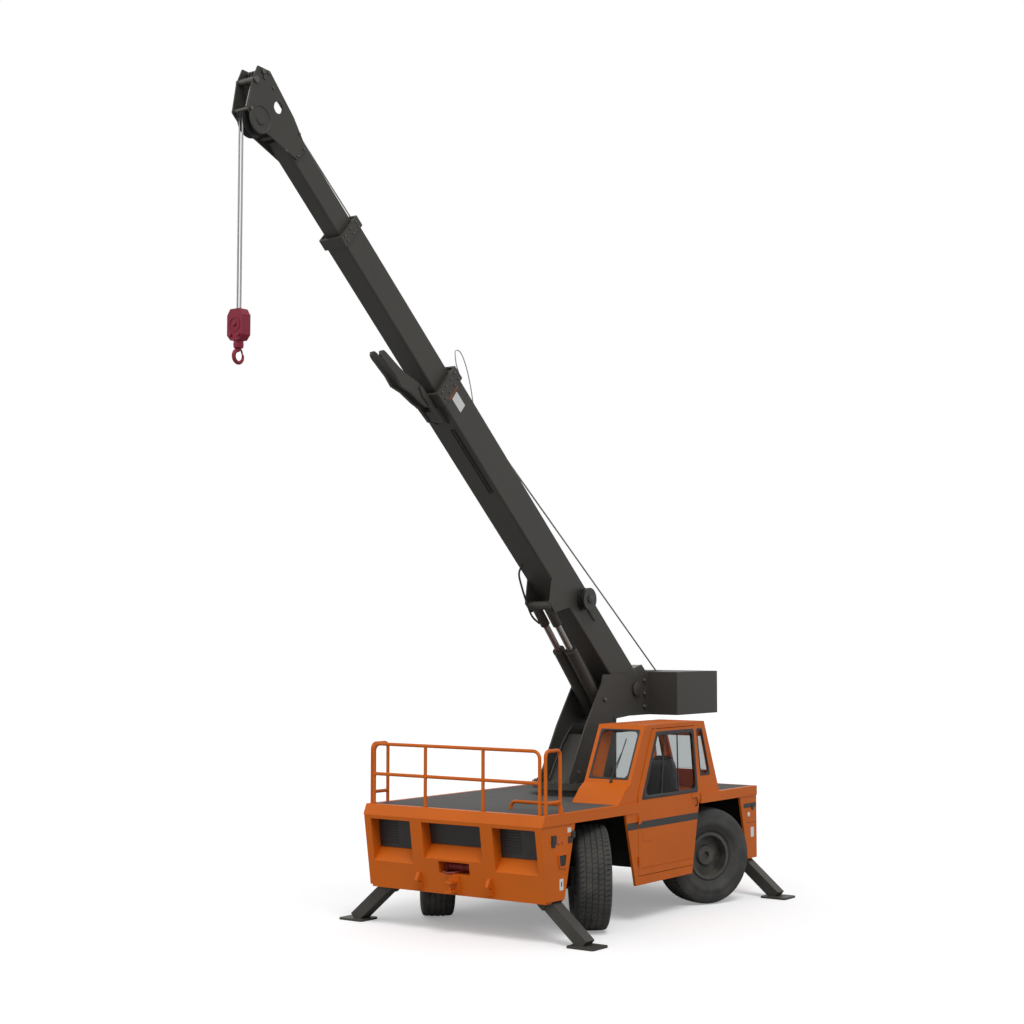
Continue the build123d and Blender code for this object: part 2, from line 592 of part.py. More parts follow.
def boom_side(y):
    """Plane for a side outline along the boom whose near face is at this Y, extruded towards -Y."""
    return Plane(origin=boom_point(0, 0, y), x_dir=along, z_dir=(0, -1, 0))


def boom_section(s):
    """Plane square to the boom at a distance from its pivot."""
    return Plane(origin=boom_point(s, 0), x_dir=(0, 1, 0), z_dir=along)


def box_section(start, end, width, depth):
    """Hollow box section with rounded corners along the boom, in the part that is being built."""
    outer = boom_section(start) * RectangleRounded(width, depth, 22)
    inner = boom_section(start) * RectangleRounded(width - 2 * PLATE, depth - 2 * PLATE, 14)
    return extrude(outer - inner, amount=end - start)


def collar(start, end, width, depth, inner_width, inner_depth):
    """Square ring round the mouth of a section."""
    outer = boom_section(start) * RectangleRounded(width, depth, 14)
    inner = boom_section(start) * RectangleRounded(inner_width, inner_depth, 10)
    return extrude(outer - inner, amount=end - start)


SLIDE = 0.5
base_box = box_section(-BASE_BUTT, BASE_END, BASE_W, BASE_D)
base_collar = collar(BASE_END - 150, BASE_END + 20, BASE_W + 44, BASE_D + 44, BASE_W - PLATE, BASE_D - PLATE)
base_pads = collar(BASE_END - 150, BASE_END, BASE_W - 2 * PLATE, BASE_D - 2 * PLATE,
                   MID_W + 2 * SLIDE, MID_D + 2 * SLIDE)
mid_box = box_section(MID_END - MID_LENGTH, MID_END, MID_W, MID_D)
mid_collar = collar(MID_END - 110, MID_END + 12, MID_W + 36, MID_D + 36, MID_W - PLATE, MID_D - PLATE)
mid_pads = collar(MID_END - 110, MID_END, MID_W - 2 * PLATE, MID_D - 2 * PLATE, TIP_W + 2 * SLIDE, TIP_D + 2 * SLIDE)
tip_box = box_section(TIP_END - TIP_LENGTH, TIP_END, TIP_W, TIP_D)

# Base section: box, mouth collar with its wear pads, the pivot bore and the two outer lugs of the lift cylinders
LUG_PLATE = 15
with BuildPart() as boom_base_section:
    add(base_box)
    add(base_collar)
    add(base_pads)
    for y in (BASE_W / 2, LUG_PLATE - BASE_W / 2):
        with BuildSketch(boom_side(y)):
            Polygon((LUG_S - 260, 25 - BASE_D / 2), (LUG_S - 75, LUG_N - 40), (LUG_S + 75, LUG_N - 40),
                    (LUG_S + 240, 25 - BASE_D / 2), align=None)
        extrude(amount=LUG_PLATE)
    with BuildSketch(boom_side(BASE_W / 2)):
        Circle(PIN_R + 30)
    extrude(amount=BASE_W)
    with BuildSketch(boom_side(BASE_W / 2 + 1)):
        Circle(PIN_R + 0.5)
    extrude(amount=BASE_W + 2, mode=Mode.SUBTRACT)
save(boom_base_section.part, "boom_base_section")

# Stow fork under the mouth of the base section: two rounded prongs on a bracket
with BuildPart() as stow_fork:
    for y in (95, -60):
        with BuildSketch(boom_side(y)):
            Polygon((BASE_END - 420, -BASE_D / 2 - 0.1), (BASE_END - 300, -300), (BASE_END + 90, -330),
                    (BASE_END + 190, -300), (BASE_END + 190, -262), (BASE_END - 160, -252),
                    (BASE_END - 160, -BASE_D / 2 - 0.1), align=None)
        extrude(amount=35)
    with BuildSketch(boom_side(60)):
        Polygon((BASE_END - 400, -BASE_D / 2 - 0.1), (BASE_END - 300, -290), (BASE_END - 170, -290),
                (BASE_END - 170, -BASE_D / 2 - 0.1), align=None)
    extrude(amount=120)
save(stow_fork.part, "stow_fork")

# Cable reel on the left face of the base section
REEL_S, REEL_R, REEL_T = 1560, 135, 110
with BuildPart() as cable_reel:
    with BuildSketch(boom_side(BASE_W / 2 + REEL_T)):
        with Locations((REEL_S, 60)):
            Circle(REEL_R)
    extrude(amount=25)
    with BuildSketch(boom_side(BASE_W / 2 + REEL_T)):
        with Locations((REEL_S, 60)):
            Circle(REEL_R - 35)
    extrude(amount=REEL_T)
    with BuildSketch(boom_side(BASE_W / 2 + 45)):
        with Locations((REEL_S, 60)):
            Circle(REEL_R)
    extrude(amount=20)
save(cable_reel.part, "cable_reel")

# Hoist winch on the butt of the boom: drum with two flanges between cheek plates
WINCH_S, WINCH_N, DRUM_R = -60, 330, 80
with BuildPart() as hoist_winch:
    for y in (150, -130):
        with BuildSketch(boom_side(y)):
            Polygon((WINCH_S - 130, BASE_D / 2 + 0.1), (WINCH_S - 70, WINCH_N + 60), (WINCH_S + 70, WINCH_N + 60),
                    (WINCH_S + 190, BASE_D / 2 + 0.1), align=None)
        extrude(amount=20)
    with BuildSketch(boom_side(130)):
        with Locations((WINCH_S, WINCH_N)):
            Circle(DRUM_R)
    extrude(amount=260)
save(hoist_winch.part, "hoist_winch")

# Middle section with its mouth collar and wear pads
with BuildPart() as boom_mid_section:
    add(mid_box)
    add(mid_collar)
    add(mid_pads)
save(boom_mid_section.part, "boom_mid_section")

# Tip section, the inner box that carries the head
with BuildPart() as boom_tip_section:
    add(tip_box)
save(boom_tip_section.part, "boom_tip_section")

# Boom head: two cheek plates that widen forward and down, with spacer tubes across
cheek = [(TIP_END - 260, -TIP_D / 2 + 40), (TIP_END - 260, TIP_D / 2 - 40), (TIP_END + 60, TIP_D / 2 + 40),
         (TIP_END + 560, TIP_D / 2 + 90), (TIP_END + 690, TIP_D / 2 - 10), (TIP_END + 640, -40),
         (TIP_END + 480, -300), (SHEAVE_S - 60, SHEAVE_N - 60), (TIP_END + 120, -230)]
CHEEK_T = 16
with BuildPart() as boom_head:
    for y in (TIP_W / 2 + CHEEK_T, -TIP_W / 2):
        with BuildSketch(boom_side(y)):
            Polygon(*cheek, align=None)
            with Locations((SHEAVE_S, SHEAVE_N)):
                Circle(30, mode=Mode.SUBTRACT)
            with Locations((GUIDE_S, GUIDE_N)):
                Circle(25, mode=Mode.SUBTRACT)
            with Locations((TIP_END + 250, 60)):
                Circle(60, mode=Mode.SUBTRACT)
        extrude(amount=CHEEK_T)
    for s, n in ((TIP_END + 120, 100), (TIP_END + 80, -170), (TIP_END + 420, 60)):
        with BuildSketch(boom_side(TIP_W / 2)):
            with Locations((s, n)):
                Circle(22)
        extrude(amount=TIP_W)
save(boom_head.part, "boom_head")

# Head sheaves: two large grooved ones for the falls and two small guides above, each pair on its shaft
with BuildPart() as head_sheaves:
    for s, n, radius, shaft in ((SHEAVE_S, SHEAVE_N, SHEAVE_R, 30), (GUIDE_S, GUIDE_N, GUIDE_R, 25)):
        groove = radius - (SHEAVE_R - GROOVE_R)
        # steps along the shaft: y from, y to, radius
        steps = [(-120, 120, shaft), (-8, 8, groove - 30)]
        for y0 in (4, -36):
            steps += [(y0, y0 + 4, radius), (y0 + 4, y0 + 28, groove), (y0 + 28, y0 + 32, radius)]
        for y0, y1, step_r in steps:
            with BuildSketch(boom_side(y1)):
                with Locations((s, n)):
                    Circle(step_r)
            extrude(amount=y1 - y0)
save(head_sheaves.part, "head_sheaves")

# Lift cylinders: two barrels pinned in the mast, two rods with a cross tube between the boom's lugs
lower = Vector(back(LIFT_BACK), 0, LIFT_Z)
upper = boom_point(LUG_S, LUG_N)
lift_axis = (upper - lower).normalized()
lift_length = (upper - lower).length


def lift_section(distance, y):
    """Plane square to a lift cylinder at a distance from its lower pin."""
    return Plane(origin=lower + lift_axis * distance + Vector(0, y, 0), x_dir=(0, 1, 0), z_dir=lift_axis)


with BuildPart() as lift_barrels:
    for y in (-LIFT_Y, LIFT_Y):
        with BuildSketch(lift_section(60, y)):
            Circle(BARREL_R)
            Circle(ROD_R + 0.3, mode=Mode.SUBTRACT)
        extrude(amount=BARREL_LENGTH - 60)
        with BuildSketch(lift_section(40, y)):
            Circle(BARREL_R)
        extrude(amount=30)
        with Locations(lower + Vector(0, y, 0)):
            Cylinder(62, 90, rotation=(90, 0, 0))
            Cylinder(LIFT_PIN_R + 0.5, 92, rotation=(90, 0, 0), mode=Mode.SUBTRACT)
save(lift_barrels.part, "lift_barrels")
with BuildPart() as lift_rods:
    for y in (-LIFT_Y, LIFT_Y):
        with BuildSketch(lift_section(520, y)):
            Circle(ROD_R)
        extrude(amount=lift_length - 520)
    with Locations(upper):
        Cylinder(EYE_R, BASE_W - 2 * LUG_PLATE - 12, rotation=(90, 0, 0))
save(lift_rods.part, "lift_rods")

# Hoist falls: two parts of rope hanging from the head sheave to the hook block
hang = boom_point(SHEAVE_S, SHEAVE_N) + Vector(GROOVE_R + FALLS_R + 0.3, 0, 0)
with BuildPart() as hoist_falls:
    for y in (-FALLS_GAP / 2 - 5, FALLS_GAP / 2 + 5):
        with BuildSketch(Plane.XY.offset(hang.Z - FALLS)):
            with Locations((hang.X, hang.Y + y)):
                Circle(FALLS_R)
        extrude(amount=FALLS)
save(hoist_falls.part, "hoist_falls")

# Hook block: two cheek plates round one sheave, tapered neck below
block_top = hang.Z - FALLS - 0.3
with BuildPart() as hook_block:
    with BuildSketch(Plane.YZ.offset(hang.X - 55)):
        Polygon((-100, block_top - 250), (-100, block_top - 60), (-60, block_top), (60, block_top),
                (100, block_top - 60), (100, block_top - 250), (55, block_top - 300), (-55, block_top - 300), align=None)
    extrude(amount=110)
save(hook_block.part, "hook_block")

# Hook: shank and a three-quarter ring that tapers to its point
HOOK_RING, HOOK_R = 62, 20
hook_z = block_top - 300
ring_z = hook_z - 150
with BuildPart() as hook:
    with Locations((hang.X, 0, hook_z - 50)):
        Cylinder(28, 100)
    with BuildSketch(Plane.XZ):
        with Locations((hang.X, ring_z)):
            Circle(HOOK_RING + HOOK_R)
            Circle(HOOK_RING - HOOK_R, mode=Mode.SUBTRACT)
        with BuildLine():
            Polyline((hang.X, ring_z), (hang.X + 150, ring_z + 20), (hang.X + 150, ring_z + 130),
                     (hang.X + 28, ring_z + 100), close=True)
        make_face(mode=Mode.SUBTRACT)
    extrude(amount=HOOK_R, both=True)
save(hook.part, "hook")
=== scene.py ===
import json
from math import atan2, cos, hypot, pi, radians, sin

import bmesh
import bpy
import numpy as np
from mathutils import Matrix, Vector


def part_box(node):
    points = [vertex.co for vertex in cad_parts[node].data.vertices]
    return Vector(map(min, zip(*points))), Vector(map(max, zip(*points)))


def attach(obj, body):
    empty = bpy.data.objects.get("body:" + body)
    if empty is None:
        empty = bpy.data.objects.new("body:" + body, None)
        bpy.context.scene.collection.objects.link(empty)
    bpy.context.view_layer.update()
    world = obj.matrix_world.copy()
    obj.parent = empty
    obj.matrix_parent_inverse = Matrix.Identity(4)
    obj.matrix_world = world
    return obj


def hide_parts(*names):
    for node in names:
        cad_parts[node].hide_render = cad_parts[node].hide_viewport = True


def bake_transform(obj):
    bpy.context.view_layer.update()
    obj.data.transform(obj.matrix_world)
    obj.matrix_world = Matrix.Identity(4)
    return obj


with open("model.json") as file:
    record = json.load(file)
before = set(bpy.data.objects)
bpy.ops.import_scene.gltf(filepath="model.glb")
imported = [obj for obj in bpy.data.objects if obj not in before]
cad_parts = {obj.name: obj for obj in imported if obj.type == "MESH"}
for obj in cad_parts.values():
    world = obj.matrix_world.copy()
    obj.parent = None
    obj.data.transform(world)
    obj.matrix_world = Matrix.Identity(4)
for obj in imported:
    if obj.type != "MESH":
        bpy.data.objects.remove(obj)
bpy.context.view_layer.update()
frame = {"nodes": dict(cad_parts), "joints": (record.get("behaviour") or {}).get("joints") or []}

# The carrier's shell: folded and welded steel plate in one hard-wearing orange coat. Road dust lies on it in
# patches, most of it low down, and makes the coat browner and duller there.
FRONT = 0.6761
DECK = 1.345


def back(distance):
    """X of a place by its distance behind the carrier's front edge, in metres."""
    return FRONT - distance


def node_group(name, inputs, outputs):
    """Empty shader node group with its sockets and its two end nodes."""
    group = bpy.data.node_groups.new(name, "ShaderNodeTree")
    for label, kind, value in inputs:
        socket = group.interface.new_socket(label, in_out="INPUT", socket_type=kind)
        socket.default_value = value
    for label, kind in outputs:
        group.interface.new_socket(label, in_out="OUTPUT", socket_type=kind)
    return group, group.nodes.new("NodeGroupInput"), group.nodes.new("NodeGroupOutput")


def math_node(tree, operation, a, b):
    """Math node whose two inputs are sockets or numbers."""
    node = tree.nodes.new("ShaderNodeMath")
    node.operation = operation
    for socket, value in zip(node.inputs, (a, b)):
        if isinstance(value, (int, float)):
            socket.default_value = value
        else:
            tree.links.new(value, socket)
    return node.outputs[0]


def noise(tree, place, scale, detail=4.0):
    """Noise value at a place."""
    node = tree.nodes.new("ShaderNodeTexNoise")
    node.inputs["Detail"].default_value = detail
    if isinstance(scale, (int, float)):
        node.inputs["Scale"].default_value = scale
    else:
        tree.links.new(scale, node.inputs["Scale"])
    tree.links.new(place, node.inputs["Vector"])
    return node.outputs["Fac"]


def remap(tree, value, low, high, to_low=0.0, to_high=1.0):
    """Value stretched from one range to another and held within it."""
    node = tree.nodes.new("ShaderNodeMapRange")
    tree.links.new(value, node.inputs["Value"])
    for name, number in (("From Min", low), ("From Max", high), ("To Min", to_low), ("To Max", to_high)):
        node.inputs[name].default_value = number
    return node.outputs["Result"]


def mix(tree, factor, a, b):
    """Colour mix whose two colours are sockets or values."""
    node = tree.nodes.new("ShaderNodeMix")
    node.data_type = "RGBA"
    tree.links.new(factor, node.inputs["Factor"])
    for socket, value in ((node.inputs["A"], a), (node.inputs["B"], b)):
        if isinstance(value, tuple):
            socket.default_value = (*value, 1.0)
        else:
            tree.links.new(value, socket)
    return node.outputs["Result"]


# Dust that every surface of the crane but its glass shares: patchy, and heavier near the ground. Under it the
# colour's tone drifts a little from place to place.
weather, weather_in, weather_out = node_group(
    "yard_dust",
    [("Base", "NodeSocketColor", (0.5, 0.5, 0.5, 1)), ("Dust", "NodeSocketColor", (0.3, 0.26, 0.2, 1)),
     ("Amount", "NodeSocketFloat", 0.3), ("Scale", "NodeSocketFloat", 3.0)],
    [("Colour", "NodeSocketColor"), ("Dirt", "NodeSocketFloat"), ("Grain", "NodeSocketFloat")])
place = weather.nodes.new("ShaderNodeTexCoord").outputs["Object"]
split = weather.nodes.new("ShaderNodeSeparateXYZ")
weather.links.new(place, split.inputs[0])
patches = remap(weather, noise(weather, place, weather_in.outputs["Scale"], 7.0), 0.42, 0.72)
low_down = remap(weather, split.outputs["Z"], 0.2, 1.5, 1.0, 0.25)
dirt = math_node(weather, "MULTIPLY", math_node(weather, "MULTIPLY", patches, low_down),
                 weather_in.outputs["Amount"])
grain = noise(weather, place, 140.0, 3.0)
shade = remap(weather, noise(weather, place, 0.9, 2.0), 0.3, 0.7, 0.93, 1.05)
tone = weather.nodes.new("ShaderNodeVectorMath")
tone.operation = "SCALE"
weather.links.new(weather_in.outputs["Base"], tone.inputs[0])
weather.links.new(shade, tone.inputs["Scale"])
weather.links.new(mix(weather, dirt, tone.outputs[0], weather_in.outputs["Dust"]),
                  weather_out.inputs["Colour"])
weather.links.new(dirt, weather_out.inputs["Dirt"])
weather.links.new(grain, weather_out.inputs["Grain"])


def finish_of(name, base, dust, amount, scale, rough, bump=0.02, metallic=0.0, coat=0.0):
    """Material with the shared dust: base and dust colours, roughness clean and dusty, and a fine
    surface grain."""
    material = bpy.data.materials.new(name)
    material.use_nodes = True
    tree = material.node_tree
    shader = tree.nodes["Principled BSDF"]
    group = tree.nodes.new("ShaderNodeGroup")
    group.node_tree = weather
    group.inputs["Base"].default_value = (*base, 1)
    group.inputs["Dust"].default_value = (*dust, 1)
    group.inputs["Amount"].default_value = amount
    group.inputs["Scale"].default_value = scale
    tree.links.new(group.outputs["Colour"], shader.inputs["Base Color"])
    tree.links.new(remap(tree, group.outputs["Dirt"], 0, 0.5, *rough), shader.inputs["Roughness"])
    relief = tree.nodes.new("ShaderNodeBump")
    relief.inputs["Strength"].default_value = bump
    relief.inputs["Distance"].default_value = 0.002
    tree.links.new(group.outputs["Grain"], relief.inputs["Height"])
    tree.links.new(relief.outputs[0], shader.inputs["Normal"])
    shader.inputs["Metallic"].default_value = metallic
    shader.inputs["Coat Weight"].default_value = coat
    shader.inputs["Coat Roughness"].default_value = 0.25
    return material


def dress(material, *nodes):
    """Give CAD nodes a material."""
    for name in nodes:
        slots = frame["nodes"][name].data.materials
        slots.clear()
        slots.append(material)


ORANGE = (0.60, 0.122, 0.005)
orange_paint = finish_of("orange_coat", ORANGE, (0.24, 0.10, 0.032), 0.20, 2.6, (0.45, 0.72))
tree = orange_paint.node_tree
shader = tree.nodes["Principled BSDF"]
shader.inputs["Specular IOR Level"].default_value = 0.22
# Painted shade: between the side skins, as in the wheel arches and the cab's foot well, the shell is painted
# near-black where shade falls. A box in object space picks it.
split = tree.nodes.new("ShaderNodeSeparateXYZ")
tree.links.new(tree.nodes.new("ShaderNodeTexCoord").outputs["Object"], split.inputs[0])
below = math_node(tree, "LESS_THAN", split.outputs["Z"], 1.228)
inboard = math_node(tree, "LESS_THAN", math_node(tree, "ABSOLUTE", split.outputs["Y"], 0.0), 1.1825)
ahead = math_node(tree, "LESS_THAN", split.outputs["X"], back(0.384))
behind = math_node(tree, "GREATER_THAN", split.outputs["X"], back(4.392))
painted_shade_box = math_node(tree, "MULTIPLY", math_node(tree, "MULTIPLY", below, inboard),
                 math_node(tree, "MULTIPLY", ahead, behind))
shell_colour = tree.nodes["Group"].outputs["Colour"]
# The near-black colour mixed in here is painted shade.
tree.links.new(mix(tree, painted_shade_box, shell_colour, (0.022, 0.021, 0.019)), shader.inputs["Base Color"])
dress(orange_paint, "front_body", "deck_band", "side_panels", "rear_body", "deck_rails", "tow_gear",
      "cab_shell", "door_panel")

# Black panels in the three front bays: satin black sheet, set back behind the orange frame and leaning. The
# two outer bays have nine pressed cooling louvres each. The lamps and the cable reel share the coat.
BLACK = (0.013, 0.013, 0.012)
black_paint = finish_of("black_coat", BLACK, (0.10, 0.09, 0.08), 0.25, 3.0, (0.42, 0.75))
dress(black_paint, "grille_panels", "cable_reel", "lamps")


def surface(name, points, faces, material, body, smooth=True):
    """New piece from an array of points and a list of faces. Doubles are merged and the faces turned
    outwards."""
    mesh = bpy.data.meshes.new(name)
    mesh.from_pydata(np.asarray(points, float).reshape(-1, 3).tolist(), [], np.asarray(faces).tolist())
    shell = bmesh.new()
    shell.from_mesh(mesh)
    bmesh.ops.remove_doubles(shell, verts=shell.verts, dist=1e-5)
    bmesh.ops.dissolve_degenerate(shell, edges=shell.edges, dist=1e-6)
    bmesh.ops.recalc_face_normals(shell, faces=shell.faces)
    shell.to_mesh(mesh)
    shell.free()
    mesh.shade_flat()
    if smooth:
        mesh.shade_smooth()
        mesh.set_sharp_from_angle(angle=radians(38))
    mesh.materials.append(material)
    made = bpy.data.objects.new(name, mesh)
    bpy.context.scene.collection.objects.link(made)
    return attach(made, body)


def grid_faces(rows, columns, copies=1):
    """Quads of closed rings: each row joins the next, each column the next round, for several copies in
    a row."""
    r, c = np.meshgrid(np.arange(rows - 1), np.arange(columns), indexing="ij")
    right = (c + 1) % columns
    quads = np.stack([r * columns + c, r * columns + right, (r + 1) * columns + right, (r + 1) * columns + c],
                     -1)
    shifts = np.arange(copies)[:, None, None] * rows * columns
    return (quads.reshape(1, -1, 4) + shifts).reshape(-1, 4)


louvres = []
panel_low, panel_setback, panel_lean = 0.87, 0.132, 40 / 320
for y0 in (-1.12, 0.56):
    for row in range(9):
        z = panel_low + 0.04 + row * 0.031
        x = back(panel_setback - panel_lean * (z - panel_low))
        section = np.array([[0, 0], [0.007, 0.004], [0.008, 0.012], [0, 0.016]])
        loops = [np.column_stack([x + section[:, 0], np.full(4, y), z + section[:, 1]])
                 for y in (y0 + 0.05, y0 + 0.27)]
        louvres.append(np.stack([np.tile(loops[0].mean(0), (4, 1)), *loops,
                                 np.tile(loops[1].mean(0), (4, 1))]))
surface("bay_louvres", np.stack(louvres), grid_faces(4, 4, len(louvres)), black_paint, "carrier",
        False)

# Deck: steel plate inside the orange band, rolled with a dark non-skid coating that has grit in it. It is
# matt, and dust lies on it in broad patches.
grip = finish_of("deck_grip", (0.055, 0.053, 0.05), (0.16, 0.14, 0.12), 0.5, 1.7, (0.8, 0.95), bump=0.6)
dress(grip, "deck_plate")

# Mast, boom, lift barrels, counterweight and legs: rolled and welded plate in a dark grey coat. The frame,
# axles, knuckles and outrigger housings have a darker and dustier coat, and the engine block is cast iron.
GREY = (0.048, 0.045, 0.039)
grey_paint = finish_of("grey_coat", GREY, (0.11, 0.10, 0.085), 0.28, 1.8, (0.5, 0.8), bump=0.04)
grey_paint.node_tree.nodes["Principled BSDF"].inputs["Specular IOR Level"].default_value = 0.3
under_paint = finish_of("underside_coat", (0.03, 0.029, 0.027), (0.12, 0.105, 0.085), 0.6, 3.0, (0.6, 0.9),
                        bump=0.1)
dress(grey_paint, "mast_plates", "mast_webs", "counterweight", "slew_platform", "lift_barrels",
      "boom_base_section", "boom_mid_section", "boom_tip_section", "boom_head", "stow_fork", "outrigger_fl",
      "outrigger_fr", "outrigger_rl", "outrigger_rr")
dress(under_paint, "chassis_frame", "front_axle", "rear_axle", "outrigger_housings", "slew_bearing",
      "knuckle_fl", "knuckle_fr", "knuckle_rl", "knuckle_rr")
cast_iron = finish_of("engine_iron", (0.05, 0.05, 0.05), (0.12, 0.10, 0.08), 0.6, 4.0, (0.6, 0.9), bump=0.3)
dress(cast_iron, "engine_block")

# Side trim on the carrier: black stripes, small square black lamps, round reflectors, white plates without
# lettering, and a foot step in each front corner, here a dark plate in an orange rim that is painted shade
# for the step's pocket. The thin black strip along each rear crease is painted shade too. Most of it is stuck
# or screwed on the outer faces.
white_plate = finish_of("white_plate", (0.72, 0.72, 0.70), (0.3, 0.27, 0.22), 0.2, 8.0, (0.4, 0.6))
red_lens = finish_of("red_lens", (0.35, 0.02, 0.015), (0.2, 0.1, 0.08), 0.2, 9.0, (0.2, 0.4), coat=0.6)
SKIN_Y = 1.2103


def axes_of(direction):
    """Two unit vectors square to a direction and to each other."""
    d = np.asarray(direction, float)
    d = d / np.linalg.norm(d)
    first = np.cross(d, (0, 0, 1.0) if abs(d[2]) < 0.9 else (1.0, 0, 0))
    first = first / np.linalg.norm(first)
    return first, np.cross(d, first), d


def turned(name, places, direction, profile, material, body, sides=24, smooth=True):
    """Turned pieces, one at each place: each profile point gives a radius and a height along the
    direction."""
    first, second, d = axes_of(direction)
    angle = np.arange(sides) * 2 * pi / sides
    radius, height = np.asarray(profile, float).T
    ring = np.cos(angle)[:, None] * first + np.sin(angle)[:, None] * second
    one = radius[:, None, None] * ring[None] + height[:, None, None] * d
    points = np.asarray(places, float).reshape(-1, 1, 1, 3) + one[None]
    return surface(name, points, grid_faces(len(radius), sides, len(points)), material, body,
                   smooth)


def rounded(corners, radius, inset=0.0, steps=7):
    """Closed outline in a plane with its corners rounded: each corner gives an arc, and inset moves it
    inwards."""
    p = np.asarray(corners, float)
    before, after = np.roll(p, 1, 0) - p, np.roll(p, -1, 0) - p
    before /= np.linalg.norm(before, axis=1)[:, None]
    after /= np.linalg.norm(after, axis=1)[:, None]
    middle = before + after
    middle /= np.linalg.norm(middle, axis=1)[:, None]
    half = np.arccos(np.clip((before * after).sum(1), -1, 1)) / 2
    centre = p + middle * ((radius + inset) / np.sin(half))[:, None]
    start, end = -(before[:, ::-1] * (1, -1)), after[:, ::-1] * (1, -1)
    start *= np.sign((start * -middle).sum(1))[:, None]
    end *= np.sign((end * -middle).sum(1))[:, None]
    t = np.linspace(0, 1, steps)[None, :, None]
    spread = np.arccos(np.clip((start * end).sum(1), -1, 1))[:, None, None]
    arc = (np.sin((1 - t) * spread) * start[:, None] + np.sin(t * spread) * end[:, None]) / np.sin(spread)
    return (centre[:, None] + radius * arc).reshape(-1, 2)


def lofted(name, loops, material, body, closed_ends=True, smooth=False):
    """Piece through a row of closed loops of points. Its ends close on their middles, or the last joins
    the first."""
    loops = [np.asarray(loop, float) for loop in loops]
    if closed_ends:
        first, last = loops[0].mean(0), loops[-1].mean(0)
        loops = [np.tile(first, (len(loops[0]), 1)), *loops, np.tile(last, (len(loops[0]), 1))]
    else:
        loops.append(loops[0])
    return surface(name, np.stack(loops), grid_faces(len(loops), len(loops[0])), material, body,
                   smooth)


def on_side(outline, y):
    """Outline in X and Z placed at a Y."""
    return np.column_stack([outline[:, 0], np.full(len(outline), y), outline[:, 1]])


def side_plate(name, x0, x1, z0, z1, y, thickness, material, body, radius=0.004):
    """Small plate on a side face: rounded outline, standing out from Y by its thickness, with an eased
    edge."""
    corners = [(x0, z0), (x1, z0), (x1, z1), (x0, z1)]
    ease = min(0.0015, abs(thickness) / 2) * np.sign(thickness)
    loops = [on_side(rounded(corners, radius), y), on_side(rounded(corners, radius), y + thickness - ease),
             on_side(rounded(corners, radius, abs(ease)), y + thickness)]
    return lofted(name, loops, material, body)


for side, tag in ((1, "left"), (-1, "right")):
    y = side * SKIN_Y
    side_plate("front_marker_" + tag, back(0.20), back(0.13), 1.005, 1.075, y, side * 0.005, black_paint,
               "carrier")
    side_plate("front_side_lamp_" + tag, back(0.52), back(0.44), 1.03, 1.10, y, side * 0.006, black_paint,
               "carrier", 0.006)
    side_plate("front_label_" + tag, back(0.50), back(0.43), 1.14, 1.19, y, side * 0.001, white_plate,
               "carrier")
    corners = [(back(0.24), 0.93), (back(0.42), 0.93), (back(0.40), 0.78), (back(0.27), 0.78)]
    loops = [on_side(rounded(corners, 0.02), y), on_side(rounded(corners, 0.02), y + side * 0.012),
             on_side(rounded(corners, 0.012, 0.016), y + side * 0.012),
             on_side(rounded(corners, 0.012, 0.018), y)]
    lofted("step_rim_" + tag, loops, orange_paint, "carrier", closed_ends=False)
    # Painted shade: a flat black plate for the shade inside the step's pocket.
    side_plate("step_pocket_painted_shade_" + tag, back(0.40), back(0.262), 0.80, 0.912, y, side * 0.002, black_paint,
               "carrier", 0.012)
    side_plate("low_label_" + tag, back(0.35), back(0.28), 0.55, 0.67, y, side * 0.001, white_plate,
               "carrier")
    side_plate("low_label_sign_" + tag, back(0.325), back(0.305), 0.59, 0.64, y + side * 0.001, side * 0.0006,
               black_paint, "carrier")
    turned("front_dots_" + tag, [(back(0.26), y, 1.04), (back(0.33), y, 1.045)], (0, side, 0),
           [(0, 0), (0.014, 0), (0.014, 0.004), (0.009, 0.008), (0, 0.009)], red_lens, "carrier",
           16)
    side_plate("rear_stripe_" + tag, back(4.63), back(4.31), 1.085, 1.14, y, side * 0.0012, black_paint,
               "carrier")
    turned("rear_reflector_" + tag, [(back(4.44), y, 1.0)], (0, side, 0),
           [(0, 0), (0.03, 0), (0.03, 0.004), (0.024, 0.007), (0, 0.008)], white_plate, "carrier",
           24)
    side_plate("rear_label_" + tag, back(4.57), back(4.49), 0.72, 0.84, y, side * 0.001, white_plate,
               "carrier")
    # Painted shade: a thin black strip along the rear crease.
    side_plate("rear_crease_painted_shade_" + tag, back(4.63), back(4.38), 0.898, 0.904, y, side * 0.0008, black_paint,
               "carrier", 0.002)
side_plate("side_stripe_right", back(3.18), back(1.62), 1.05, 1.13, -SKIN_Y, -0.0012, black_paint, "carrier")
side_plate("side_stripe_front", back(1.842), back(1.62), 1.05, 1.13, SKIN_Y, 0.0012, black_paint, "carrier")
side_plate("side_stripe_door", back(3.19), back(1.855), 1.05, 1.13, SKIN_Y, 0.0012, black_paint, "cab_door")
side_plate("door_vent", back(2.17), back(1.95), 0.90, 0.99, SKIN_Y, 0.004, orange_paint, "cab_door",
           0.01)
side_plate("door_fold", back(3.05), back(1.90), 0.612, 0.618, SKIN_Y, 0.004, orange_paint, "cab_door",
           0.002)

